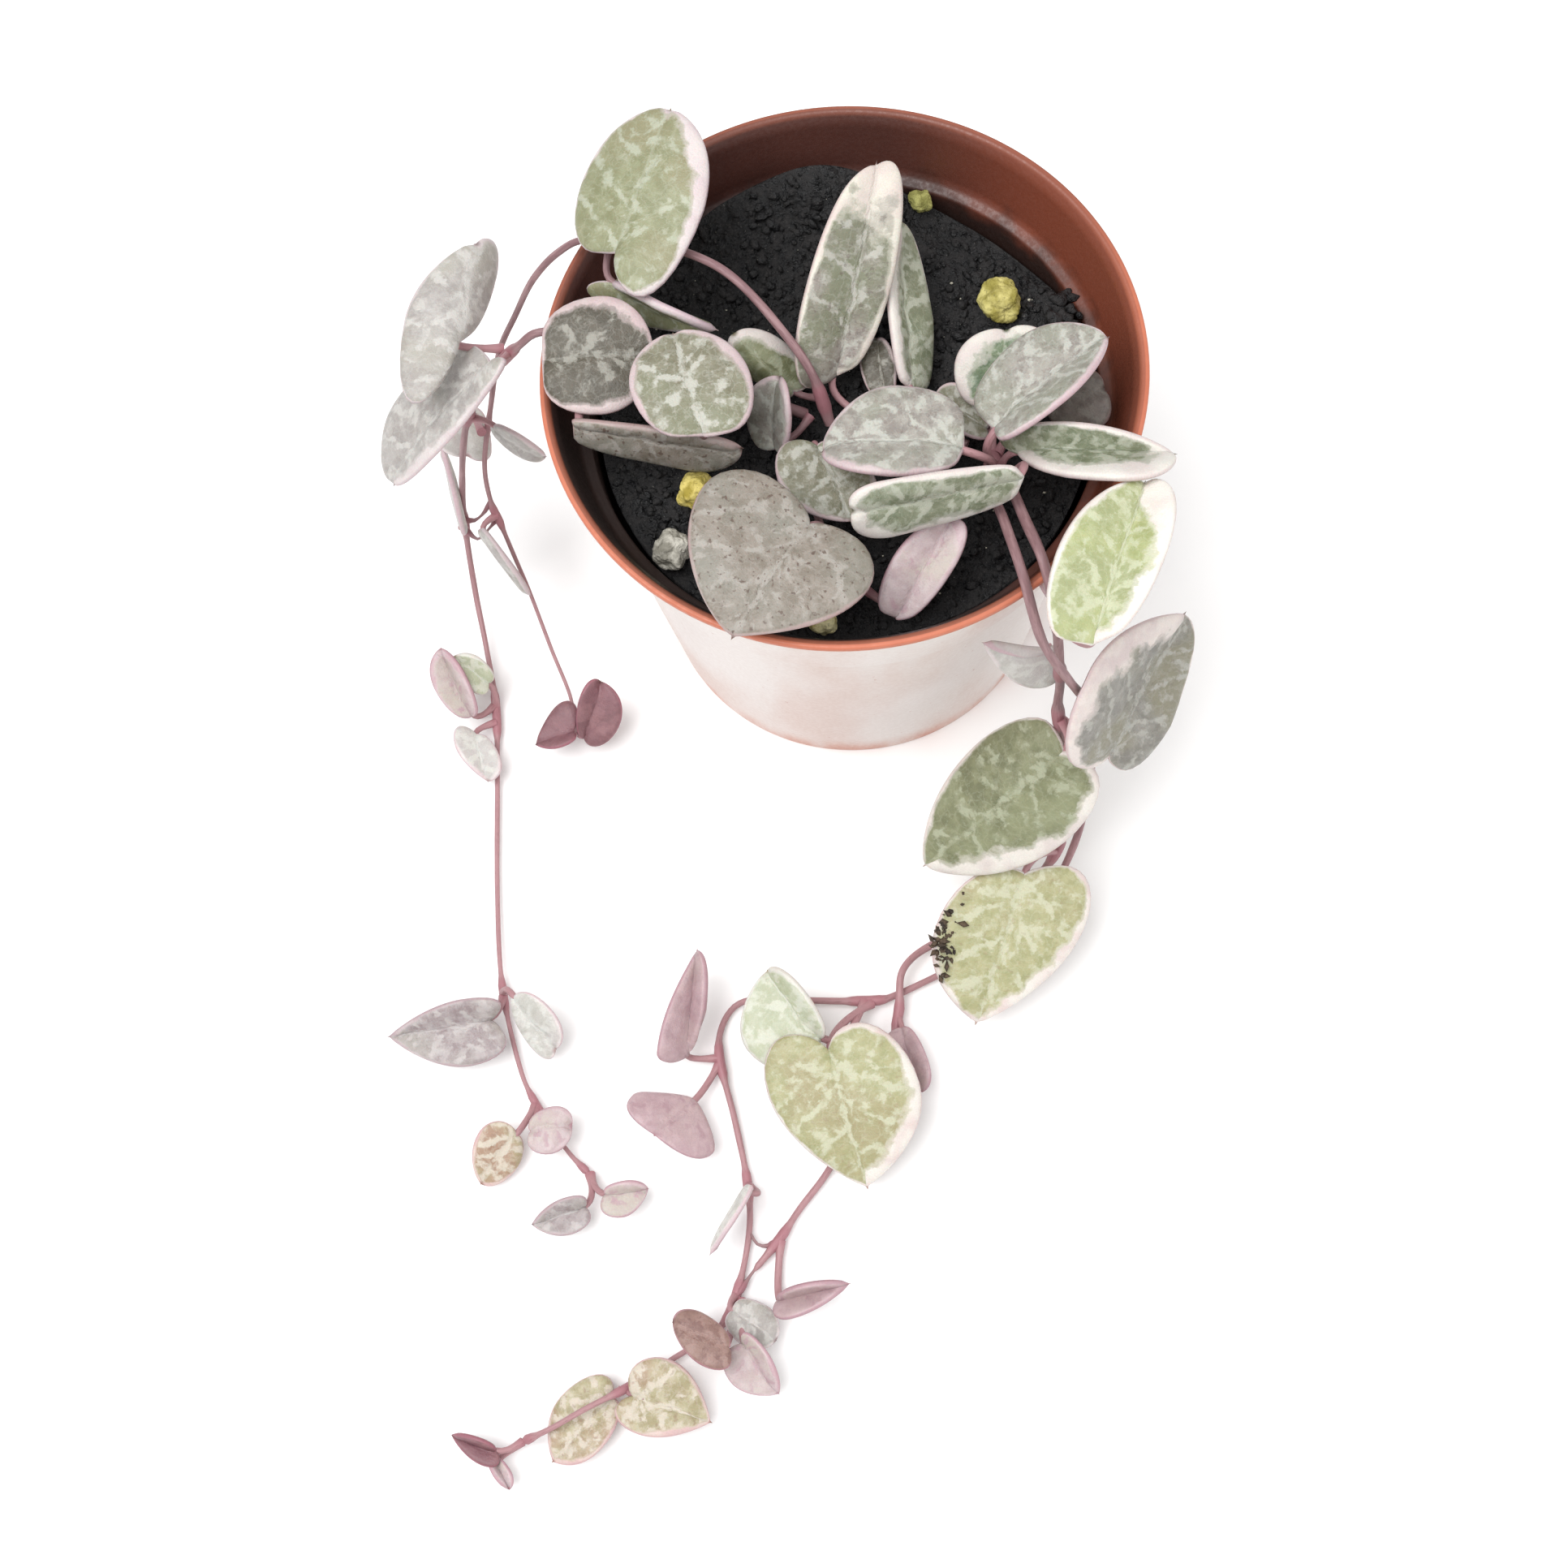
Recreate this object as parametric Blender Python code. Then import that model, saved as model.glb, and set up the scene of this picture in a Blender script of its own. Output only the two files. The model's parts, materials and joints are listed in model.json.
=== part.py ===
"""Potted string of hearts: a small plastic nursery pot of soil with a trailing variegated vine.

The pot's axis is the world Z axis and the pot stands on z = 0. Two groups of stems leave the
soil, pass over the rim at -X and at +X, hang down and then lie along the surface towards -Y.
Sizes and points are in millimetres and are turned into metres by MM.
"""
import math

import bmesh
import bpy
from mathutils import Vector, noise

MM = 0.001

# Pot
RIM_RADIUS = 32.5
RIM_HEIGHT = 56.0
BASE_RADIUS = 24.0
FLOOR_THICKNESS = 1.6
POT_SEGMENTS = 64
POT_SHARP_ANGLE = 35
DRAIN_HOLES = 6
DRAIN_RADIUS = 1.8
DRAIN_CIRCLE = 16.0
DRAIN_SEGMENTS = 12

# Radius and height of each corner of the pot's section, up the outside and down the inside
POT_OUTSIDE = (
    (BASE_RADIUS - 0.6, 0), (BASE_RADIUS, 0.6), (28.2, 41.6), (29.3, 42.6),
    (RIM_RADIUS - 0.9, RIM_HEIGHT - 1.6), (RIM_RADIUS - 0.1, RIM_HEIGHT - 1.1),
    (RIM_RADIUS, RIM_HEIGHT - 0.4), (RIM_RADIUS - 0.4, RIM_HEIGHT),
)
POT_INSIDE = (
    (RIM_RADIUS - 1.2, RIM_HEIGHT - 0.1), (RIM_RADIUS - 1.5, RIM_HEIGHT - 0.7), (29.6, 48.8),
    (29.2, 48.2), (28.1, 47.7), (27.6, 42.0), (BASE_RADIUS - 1.3, FLOOR_THICKNESS),
)

# Soil
GAP = 0.3
SOIL_RADIUS = 27.2
SOIL_TOP = 45.0
SOIL_BOTTOM = FLOOR_THICKNESS + GAP
SOIL_BOTTOM_RADIUS = 22.4
SOIL_RINGS = 7
SOIL_SEGMENTS = 40
SOIL_ROUGHNESS = 0.5
SOIL_ROUGHNESS_SCALE = 0.35
SOIL_SHARP_ANGLE = 50
GRANULE_ROUGHNESS = 0.18
GRANULE_ROUGHNESS_SCALE = 0.7

# Plant
STEM_DIAMETER = 1.1
STEM_SPACING = 2.6
LEAF_THICKNESS = 1.0
MARGIN_SHARE = 0.5
PETIOLE_WIDTH = 0.9
PETIOLE_CLEARANCE = 1.4
LOBE_STEPS = 5
SHOULDER = 0.45
SIDE_STEPS = (0.0, 0.3, 0.55, 0.75, 0.9)

TERRACOTTA = (0.60, 0.33, 0.26)
SOIL_BLACK = (0.02, 0.018, 0.016)
STEM_MAUVE = (0.36, 0.17, 0.19)
LEAF_GREEN = (0.36, 0.43, 0.26)
LEAF_GREY = (0.35, 0.33, 0.29)
LEAF_PINK = (0.62, 0.38, 0.42)
YELLOW = (0.80, 0.72, 0.25)
GREY_WHITE = (0.72, 0.72, 0.68)

# Mounds of soil: centre x, y, spread and height
SOIL_MOUNDS = (
    (2, 27, 9, 6.0), (-13, 23, 8, 2.5), (24, 6, 6, 3.5), (-4, -2, 10, 1.0), (14, -9, 8, 1.2),
    (-20, -8, 8, 0.8), (2, -22, 8, 0.6),
)

# Granules: name, centre, radius, flatness, colour
GRANULES = (
    ("granule_yellow_right", (19.0, 9.0, 48.9), 2.7, 0.85, YELLOW),
    ("granule_yellow_left", (-17.5, -8.5, 48.9), 2.2, 0.9, YELLOW),
    ("granule_perlite_grey", (-21.0, -14.5, 48.0), 2.3, 0.95, GREY_WHITE),
    ("granule_pale_front", (-6.0, -25.2, 47.0), 1.6, 0.9, YELLOW),
    ("granule_yellow_rear", (12.2, 23.4, 48.4), 1.4, 0.9, YELLOW),
)

# Stems: name and the points of the route, from the soil to the growing tip
STEMS = (
    ("stem_left_rear", (
        (-2, -3, 49.0), (-3.3, 0.7, 54), (-6, 5, 57), (-9.5, 9.5, 59.5), (-13, 12.5, 60.5),
        (-18.5, 15.5, 60.5), (-25, 18, 59), (-28.5, 18.5, 56.6), (-32, 18.5, 52), (-35, 18, 46),
        (-38, 17, 40), (-40.5, 15, 32), (-43, 11.5, 24), (-43.5, 9.5, 17.5), (-43, 8, 15),
        (-42, 4.5, 11), (-41, 1, 7.5), (-39.5, -5.5, 4), (-38, -11.5, 2.5), (-38, -15.5, 2.0))),
    ("stem_left_front", (
        (-4.5, -1.2, 48.6), (-8, -0.3, 51), (-14, 2, 53), (-20.5, 5, 54.5), (-27, 7.7, 57),
        (-31.5, 8.3, 57.8), (-34, 8.5, 55.5), (-36.5, 9.5, 51), (-39, 10.5, 45), (-42.5, 11.5, 37),
        (-45, 11, 28), (-47.5, 10, 14), (-48.3, 4, 5), (-48, -3, 2.2), (-47.7, -11, 1.2),
        (-48.5, -20.5, 1.0), (-50, -35.5, 1.0), (-50.5, -47.5, 1.6), (-49.5, -57.5, 1.2),
        (-48, -62.5, 1.6), (-45, -68.5, 1.2), (-42.5, -72, 1.4))),
    ("stem_right_long", (
        (14.5, -9.5, 49.0), (15.5, -15.5, 53), (16, -21, 56), (16.7, -26.5, 58), (17.6, -30, 53.5),
        (18.4, -31.8, 44), (19, -32, 36), (19, -33, 30), (19.7, -36, 23), (20, -39.5, 16),
        (18.5, -43, 9), (14, -46.5, 4.5), (8.5, -49.5, 2.2), (2.5, -50.3, 1.4), (-1.8, -53.3, 2.8),
        (-3.2, -58.5, 1.6), (-6.8, -67.5, 1.0), (-12, -73, 1.0), (-15, -76.5, 1.0),
        (-18.3, -79.7, 1.0), (-21, -82.7, 1.2), (-24.6, -86, 1.0))),
    ("stem_right_second", (
        (13.0, -12.5, 49.0), (13.7, -18, 54), (14, -23.6, 57.3), (14.5, -28, 57.6),
        (16, -32.5, 51), (19, -34.5, 43.5), (22, -33.6, 33), (23.5, -33.4, 25), (23, -37, 16),
        (21, -42, 8.5), (16.5, -47.5, 3.5), (10, -52, 1.6), (3, -54, 1.0), (-2.9, -55.8, 1.0),
        (-6, -56.2, 1.4), (-13.3, -55, 1.2), (-17.6, -54, 1.0), (-22, -54, 1.0), (-24.5, -56.5, 1.0),
        (-25.3, -60.6, 1.4), (-24.5, -68, 1.0), (-24, -76, 1.0), (-24.7, -82, 1.0),
        (-27.3, -89, 1.0), (-30, -92.3, 1.0), (-35, -94.5, 1.2), (-38.7, -96.3, 1.6),
        (-41.4, -97.5, 3.4), (-45.6, -99, 4.6), (-49.7, -100.5, 4.0), (-53.5, -101.4, 2.0))),
    ("stem_front_short", (
        (-2.4, -5.5, 48.2), (-5, -10, 49), (-4, -19.5, 50), (-1.0, -23.4, 49.5))),
    ("stem_soil_runner", (
        (12.3, -8.0, 49.2), (7.4, -4.5, 48.8), (2.6, -2.6, 48.6), (0.6, -2.6, 48.6))),
)

# Leaves: name, base, tip, widest point of the left side, widest point of the right side,
# share of the length at the widest point, sharpness of the two sides, length of the two lobes,
# rise of the midrib, and the point on the stem where the petiole starts
LEAVES = (
    ("leaf_pot_01", (-21.6, 13.5, 62.5), (-14, 28, 66), (-24.6, 23.3, 61), (-12.1, 15.9, 64),
     0.42, (0.45, 0.5), (0.02, 0.24), 0.5, (-20.5, 15.8, 60)),
    ("leaf_pot_02", (-23, 13.5, 57), (-12.5, 6, 56.5), (-18, 7.5, 61), (-22, 11, 53.5),
     0.40, (0.8, 0.8), (0.02, 0.12), 0.0, (-22.5, 17, 59.5)),
    ("leaf_pot_03", (-31.5, 4, 59), (-19.6, 2.7, 59.5), (-24.6, 9.6, 61), (-26, -2.5, 57.5),
     0.48, (0.5, 0.5), (0.00, 0.00), 0.3, (-27, 7.7, 57)),
    ("leaf_pot_04", (-15.6, -8.6, 61), (-17.3, 3.5, 62), (-22.5, -2.9, 61.5), (-9.9, -2.8, 61.5),
     0.42, (0.7, 0.5), (0.00, 0.03), 0.6, (-15, -1, 53.5)),
    ("leaf_pot_05", (-5.5, 1.0, 50.5), (-11, 6.5, 55), (-10.5, 4.5, 50.5), (-5.5, 6, 52),
     0.45, (0.6, 0.6), (0.10, 0.10), 0.8, (-2.5, -1, 51.5)),
    ("leaf_pot_06", (-8, -5.5, 50.5), (-6.7, 0, 56), (-10.5, -1, 51.5), (-6, -5, 55.5),
     0.40, (0.6, 0.6), (0.10, 0.10), 0.5, (-4, -2.2, 50)),
    ("leaf_pot_07", (-29.2, -2.9, 57.2), (-11.7, -8, 56), (-16.6, -6.4, 58.2), (-17.1, -7.5, 52),
     0.72, (0.6, 0.5), (0.00, 0.00), 0.0, (-25, 6.5, 56)),
    ("leaf_pot_08", (-6.5, -19.8, 59.5), (-15.9, -30.6, 59), (-1.4, -27.5, 59), (-16.4, -14.2, 61),
     0.20, (0.98, 0.6), (0.10, 0.14), 0.6, (-3.5, -20.5, 49.8)),
    ("leaf_pot_09", (-1, 1.7, 50.5), (6.9, 20.5, 62), (-3.8, 6.8, 56.5), (6.7, 9.8, 55.3),
     0.36, (0.38, 0.36), (0.02, 0.00), 0.6, (2, -2.6, 48.6)),
    ("leaf_pot_10", (7.2, -0.4, 49.5), (8.7, 17.9, 54.5), (6.4, 8.5, 54.2), (11.3, 8, 49),
     0.45, (0.55, 0.5), (0.00, 0.00), -0.6, (7.4, -4.5, 48.8)),
    ("leaf_pot_11", (4.6, 0.0, 48.6), (4.6, 6.2, 49.9), (2.3, 3.2, 49.0), (6.2, 2.8, 49.6),
     0.35, (0.6, 0.6), (0.15, 0.10), 0.4, (5.5, -3.6, 48.7)),
    ("leaf_pot_12", (-4, -8.5, 54), (-1.5, -17, 53), (1.5, -12.5, 53.5), (-8.5, -12.5, 54),
     0.35, (0.65, 0.7), (0.15, 0.20), 0.4, (-3.5, -6.8, 48.4)),
    ("leaf_pot_13", (10.7, -13.8, 59.5), (-4, -11.3, 59), (2.4, -17, 61.5), (5.6, -5.5, 58.5),
     0.42, (0.6, 0.6), (0.00, 0.00), 1.0, (14, -11.5, 50.5)),
    ("leaf_pot_14", (16.2, -17.8, 60), (-2, -19.8, 62.2), (1.5, -20.8, 57), (1.3, -18.5, 65),
     0.72, (0.5, 0.5), (0.00, 0.00), 0.0, (15.3, -14.5, 52.5)),
    ("leaf_pot_15", (1.5, -27.2, 50), (8.6, -18.8, 54.6), (1.7, -22.3, 54), (8.6, -23.4, 53.5),
     0.45, (0.6, 0.55), (0.00, 0.05), 0.0, (-1, -23.4, 49.5)),
    ("leaf_pot_16", (16, -4.5, 51.5), (18, 2, 55), (12, -0.5, 53.5), (22, -1, 54),
     0.35, (0.55, 0.55), (0.15, 0.15), 0.4, (14.6, -9.8, 49.4)),
    ("leaf_pot_17", (14.4, -11.5, 58.5), (27.3, -4.8, 62.5), (18.2, -1.9, 59), (21.3, -12, 64),
     0.50, (0.55, 0.7), (0.02, 0.02), 0.0, (14.8, -12, 51)),
    ("leaf_pot_19", (21.5, -5, 50), (27.6, -5.5, 52.5), (25, -1.5, 50.2), (26, -9.3, 50.5),
     0.45, (0.5, 0.5), (0.10, 0.10), 0.3, (15.2, -9.8, 49.4)),
    ("leaf_pot_20", (16.8, -12.6, 55), (32.5, -17, 58), (21.5, -12.2, 59.5), (25, -20, 60.3),
     0.35, (0.8, 0.75), (0.10, 0.05), 0.0, (15, -12.5, 51.5)),
    ("leaf_pot_21", (19.9, -36.4, 57.5), (28.7, -19.4, 58), (17.5, -27.6, 60.5), (29.1, -28.2, 60),
     0.45, (0.5, 0.5), (0.00, 0.00), 0.6, (17.6, -31, 51.5)),
    ("leaf_right_01", (18.8, -29.2, 40), (10.6, -28.4, 42.6), (16.2, -31.4, 34.5), (14.8, -29.8, 40.5),
     0.30, (0.9, 0.9), (0.10, 0.02), 0.0, (18.7, -31.9, 39.5)),
    ("leaf_right_02", (23.8, -38.6, 29.5), (34.2, -26.1, 37), (21.2, -35, 43), (31.8, -36.2, 28),
     0.32, (0.75, 0.55), (0.17, 0.07), -1.0, (19.2, -33.5, 29)),
    ("leaf_right_03", (19.1, -37, 27.5), (2, -43.8, 13), (18.7, -44.6, 18), (11, -32.1, 22),
     0.30, (0.75, 0.75), (0.07, 0.04), 0.8, (19.2, -34, 29.6)),
    ("leaf_right_04", (13.8, -46.3, 12), (5.5, -61.9, 5.2), (20.5, -52, 9), (2.5, -50.5, 10.5),
     0.30, (0.8, 0.95), (0.06, 0.06), 0.4, (18.5, -43, 9)),
    ("leaf_right_05", (-13, -61, 8), (-18, -52.5, 10), (-21.5, -61.5, 8), (-14, -56, 12),
     0.35, (0.65, 0.65), (0.15, 0.10), 0.3, (-7, -56.2, 1.6)),
    ("leaf_right_06", (-12, -64, 8.5), (-10, -79, 3.6), (-2.2, -68, 7.5), (-20, -66.4, 7.2),
     0.22, (0.95, 0.9), (0.26, 0.20), 0.8, (-6.2, -56.6, 1.6)),
    ("leaf_right_07", (-29.1, -59.7, 3), (-25.9, -47.8, 7), (-32.3, -59.9, 7), (-25.9, -55.3, 7.5),
     0.10, (1, 0.9), (0.02, 0.02), 0.0, (-25.5, -60.4, 1.4)),
    ("leaf_right_08", (-29, -65.5, 3), (-34, -69.5, 6), (-27.5, -72, 3), (-36, -64, 4.5),
     0.05, (1.0, 1.0), (0.05, 0.05), 0.0, (-25.5, -61.2, 1.4)),
    ("leaf_right_09", (-22, -90, 2.6), (-13.5, -89.5, 5), (-19.5, -89, 6), (-21, -92.5, 5.5),
     0.18, (0.9, 0.9), (0.08, 0.08), 0.0, (-21.0, -83, 1.2)),
    ("leaf_right_10", (-28.5, -94.8, 7), (-34.5, -91, 6.5), (-31.5, -96.5, 7), (-31, -90.5, 6),
     0.35, (0.7, 0.7), (0.10, 0.10), 0.3, (-27.5, -90.5, 1.2)),
    ("leaf_right_11", (-26.6, -94.5, 4.0), (-23.5, -100.5, 3), (-24, -96, 5.5), (-29, -98, 4),
     0.30, (0.75, 0.8), (0.20, 0.10), 0.3, (-26.4, -89.2, 1.2)),
    ("leaf_right_12", (-39.6, -98.6, 3.4), (-31.5, -102.5, 3), (-35.4, -94.9, 4.6), (-40, -102.6, 4),
     0.22, (0.95, 0.95), (0.20, 0.20), 0.3, (-41.0, -97.2, 3.2)),
    ("leaf_right_13", (-43.2, -98.3, 2.2), (-50.5, -104.2, 1.6), (-44.5, -103.5, 2.6), (-48.5, -97, 2.2),
     0.25, (0.95, 0.95), (0.15, 0.25), 0.0, (-41.5, -97.2, 1.8)),
    ("leaf_right_14", (-56.5, -102, 3), (-61.5, -99.5, 3), (-58, -103.5, 3.5), (-58, -100.5, 5),
     0.25, (0.85, 0.85), (0.10, 0.05), 0.0, (-53.5, -101.4, 2.0)),
    ("leaf_left_01", (-40.8, 9.3, 56.3), (-37.3, 20.3, 58), (-46, 12.7, 57), (-36.2, 18.7, 53.5),
     0.42, (0.5, 0.5), (0.50, 0.03), 0.5, (-36.2, 10.4, 52)),
    ("leaf_left_02", (-37.3, 6.6, 55), (-50.8, -0.7, 45), (-42, 0.7, 52), (-47.8, 10.2, 46),
     0.45, (0.5, 0.6), (0.10, 0.05), 0.5, (-35.4, 9, 53.2)),
    ("leaf_left_03", (-40.0, 10, 36), (-34.5, 6.5, 33), (-37, 7.5, 37.5), (-38, 8.0, 32),
     0.30, (0.8, 0.8), (0.02, 0.10), 0.0, (-42.2, 11.3, 36)),
    ("leaf_left_04", (-43.5, 17.5, 28.5), (-45, 12.8, 24), (-42, 13, 24), (-48, 14.5, 26),
     0.60, (0.6, 0.6), (0.03, 0.03), 0.0, (-42.2, 12.6, 30)),
    ("leaf_left_05", (-50.5, -12.4, 3.8), (-53, -4.5, 8), (-54.5, -9.5, 6.5), (-50, -9.5, 8),
     0.30, (0.85, 0.85), (0.10, 0.10), 0.0, (-47.8, -10.8, 1.4)),
    ("leaf_left_06", (-50.5, -15.2, 2.8), (-49.5, -21.5, 2.6), (-47.5, -19, 3.4), (-53, -16.5, 4),
     0.35, (0.8, 0.8), (0.10, 0.15), 0.0, (-47.9, -13.2, 1.4)),
    ("leaf_left_07", (-36.5, -17.5, 4), (-33.4, -12.2, 8), (-36.5, -14.5, 8), (-31.8, -17.2, 5.5),
     0.18, (0.75, 0.75), (0.20, 0.25), 0.0, (-38, -15.5, 2)),
    ("leaf_left_08", (-52.5, -52, 3.5), (-65, -52, 2.4), (-55, -57.4, 3.6), (-55, -49.8, 6.5),
     0.35, (0.85, 0.85), (0.10, 0.10), 0.0, (-50.5, -49, 1.8)),
    ("leaf_left_09", (-48.5, -50.5, 6), (-44.5, -57, 3.5), (-44, -53, 7), (-47.5, -56, 3),
     0.30, (0.7, 0.7), (0.10, 0.15), 0.0, (-50.4, -48.5, 1.8)),
    ("leaf_left_10", (-50.5, -66.5, 3.5), (-55.5, -71.5, 2), (-51, -70, 1.6), (-54.5, -65.5, 4.5),
     0.20, (0.8, 0.8), (0.10, 0.12), 0.0, (-48, -62.8, 1.6)),
    ("leaf_left_11", (-48.3, -66.5, 4.6), (-43.5, -66.5, 4.2), (-45.5, -64, 5), (-46.5, -69.5, 4.4),
     0.35, (0.55, 0.55), (0.15, 0.15), 0.2, (-47.8, -63.2, 1.6)),
    ("leaf_left_12", (-43.5, -76, 3.0), (-50, -77, 2), (-45, -79, 3.2), (-45.5, -75, 5),
     0.30, (0.85, 0.85), (0.10, 0.10), 0.0, (-42.5, -72, 1.4)),
    ("leaf_left_13", (-40.5, -75, 3.5), (-35.5, -75, 3), (-38, -74, 5), (-39, -78, 3.6),
     0.35, (0.75, 0.75), (0.10, 0.15), 0.0, (-42.3, -72, 1.4)),
)
PINK_LEAVES = (
    "leaf_pot_15", "leaf_right_07", "leaf_right_08", "leaf_right_09", "leaf_right_10",
    "leaf_right_14", "leaf_left_05", "leaf_left_07",
)
GREY_LEAVES = (
    "leaf_pot_03", "leaf_pot_08", "leaf_pot_19", "leaf_left_01", "leaf_left_02", "leaf_left_08",
)


def clear_scene():
    for item in list(bpy.data.objects):
        bpy.data.objects.remove(item, do_unlink=True)


def plain_material(name, colour, roughness, metallic=0.0):
    material = bpy.data.materials.new(name)
    material.use_nodes = True
    shader = material.node_tree.nodes["Principled BSDF"]
    shader.inputs["Base Color"].default_value = (*colour, 1.0)
    shader.inputs["Roughness"].default_value = roughness
    shader.inputs["Metallic"].default_value = metallic
    return material


def add_object(name, data, material, parent):
    item = bpy.data.objects.new(name, data)
    data.materials.append(material)
    bpy.context.scene.collection.objects.link(item)
    item.parent = parent
    return item


def mesh_from(name, points, faces):
    """A mesh whose points are given in millimetres."""
    mesh = bpy.data.meshes.new(name)
    mesh.from_pydata([Vector(point) * MM for point in points], [], faces)
    mesh.update()
    return mesh


def turned_mesh(name, profile, segments):
    """Turn a (radius, height) profile about Z, up the outside, and close its two ends with flat faces."""
    points = []
    for radius, height in profile:
        for step in range(segments):
            angle = 2 * math.pi * step / segments
            points.append((radius * math.cos(angle), radius * math.sin(angle), height))
    faces = [list(reversed(range(segments)))]
    for ring in range(len(profile) - 1):
        first = ring * segments
        for step in range(segments):
            after = (step + 1) % segments
            faces.append((first + step, first + after, first + segments + after, first + segments + step))
    faces.append(list(range(len(points) - segments, len(points))))
    return mesh_from(name, points, faces)


def smooth_path(points, spacing):
    """Evenly spaced points on a Catmull-Rom curve through the given points."""
    knots = [Vector(point) for point in points]
    knots = [2 * knots[0] - knots[1]] + knots + [2 * knots[-1] - knots[-2]]
    path = []
    for index in range(1, len(knots) - 2):
        before, start, end, after = knots[index - 1:index + 3]
        steps = max(1, round((end - start).length / spacing))
        for step in range(steps):
            t = step / steps
            path.append(0.5 * (2 * start + (end - before) * t
                               + (2 * before - 5 * start + 4 * end - after) * t ** 2
                               + (3 * start - before - 3 * end + after) * t ** 3))
    path.append(knots[-2])
    return path


def make_pot(parent):
    mesh = turned_mesh("pot", POT_OUTSIDE + POT_INSIDE, POT_SEGMENTS)
    pot = add_object("pot", mesh, plain_material("terracotta_plastic", TERRACOTTA, 0.5), parent)
    for index in range(DRAIN_HOLES):
        angle = 2 * math.pi * (index + 0.5) / DRAIN_HOLES
        cut_drain_hole(pot, index, DRAIN_CIRCLE * math.cos(angle), DRAIN_CIRCLE * math.sin(angle))
    mesh.shade_smooth()
    mesh.set_sharp_from_angle(angle=math.radians(POT_SHARP_ANGLE))


def cut_drain_hole(pot, index, x, y):
    profile = [(DRAIN_RADIUS, -1), (DRAIN_RADIUS, FLOOR_THICKNESS + 1)]
    mesh = turned_mesh(f"drain_cutter_{index}", profile, DRAIN_SEGMENTS)
    cutter = bpy.data.objects.new(mesh.name, mesh)
    bpy.context.scene.collection.objects.link(cutter)
    cutter.location = (x * MM, y * MM, 0)
    cutter.hide_render = True
    cutter.display_type = "WIRE"
    cut = pot.modifiers.new(f"drain_{index}", "BOOLEAN")
    cut.operation = "DIFFERENCE"
    cut.solver = "EXACT"
    cut.object = cutter


def soil_height(x, y):
    height = SOIL_TOP
    for centre_x, centre_y, spread, rise in SOIL_MOUNDS:
        distance = math.hypot(x - centre_x, y - centre_y) / spread
        height += rise * math.exp(-distance ** 2)
    return height + SOIL_ROUGHNESS * noise.noise(Vector((x, y, 0)) * SOIL_ROUGHNESS_SCALE)


def soil_ring(radius, turn, height=None):
    """One ring of soil points, turned by a share of a step; its heights follow the mounds."""
    ring = []
    for step in range(SOIL_SEGMENTS):
        angle = 2 * math.pi * (step + turn) / SOIL_SEGMENTS
        x = radius * math.cos(angle)
        y = radius * math.sin(angle)
        ring.append((x, y, soil_height(x, y) if height is None else height))
    return ring


def make_soil(parent):
    points = [(0, 0, soil_height(0, 0))]
    for ring in range(SOIL_RINGS):
        points += soil_ring(SOIL_RADIUS * (ring + 1) / SOIL_RINGS, 0.5 * (ring % 2))
    points += soil_ring(SOIL_BOTTOM_RADIUS, 0.5 * ((SOIL_RINGS - 1) % 2), SOIL_BOTTOM)
    points.append((0, 0, SOIL_BOTTOM))
    faces = []
    for step in range(SOIL_SEGMENTS):
        after = (step + 1) % SOIL_SEGMENTS
        faces.append((0, 1 + step, 1 + after))
        for ring in range(SOIL_RINGS - 1):
            inner = 1 + ring * SOIL_SEGMENTS
            outer = inner + SOIL_SEGMENTS
            if ring % 2 == 0:
                faces.append((inner + step, outer + step, inner + after))
                faces.append((inner + after, outer + step, outer + after))
            else:
                faces.append((inner + step, outer + step, outer + after))
                faces.append((inner + step, outer + after, inner + after))
        edge = 1 + (SOIL_RINGS - 1) * SOIL_SEGMENTS
        bottom = edge + SOIL_SEGMENTS
        faces.append((edge + step, bottom + step, bottom + after, edge + after))
        faces.append((len(points) - 1, bottom + after, bottom + step))
    mesh = mesh_from("soil", points, faces)
    mesh.shade_smooth()
    mesh.set_sharp_from_angle(angle=math.radians(SOIL_SHARP_ANGLE))
    add_object("soil", mesh, plain_material("potting_soil", SOIL_BLACK, 0.95), parent)


def make_granule(name, centre, radius, flatness, colour, parent):
    shape = bmesh.new()
    bmesh.ops.create_icosphere(shape, subdivisions=2, radius=radius)
    for vertex in shape.verts:
        bump = noise.noise(vertex.co * GRANULE_ROUGHNESS_SCALE + Vector(centre))
        vertex.co *= 1 + GRANULE_ROUGHNESS * bump
        vertex.co.z *= flatness
        vertex.co *= MM
    mesh = bpy.data.meshes.new(name)
    shape.to_mesh(mesh)
    shape.free()
    mesh.shade_smooth()
    granule = add_object(name, mesh, plain_material(name, colour, 0.8), parent)
    granule.location = Vector(centre) * MM


def make_stem(name, route, material, parent):
    curve = bpy.data.curves.new(name, "CURVE")
    curve.dimensions = "3D"
    curve.bevel_depth = STEM_DIAMETER / 2 * MM
    curve.bevel_resolution = 1
    curve.use_fill_caps = True
    path = smooth_path(route, STEM_SPACING)
    spline = curve.splines.new("POLY")
    spline.points.add(len(path) - 1)
    for point, place in zip(spline.points, path):
        point.co = (*(place * MM), 1.0)
    add_object(name, curve, material, parent)


def side_outline(widest, sharpness, lobe):
    """Points (along, across) of half a heart, from beside the base round the lobe to the tip."""
    outline = []
    for step in range(2, LOBE_STEPS):
        angle = math.pi * step / LOBE_STEPS
        if angle < math.pi / 2:
            outline.append((-lobe * math.sin(angle), SHOULDER * (1 - math.cos(angle))))
        else:
            turn = math.sin(angle)
            outline.append((widest - (widest + lobe) * turn, SHOULDER - (1 - SHOULDER) * math.cos(angle)))
    for step in SIDE_STEPS:
        outline.append((widest + (1 - widest) * step, (1 - step ** 2) ** sharpness))
    return outline


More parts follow.
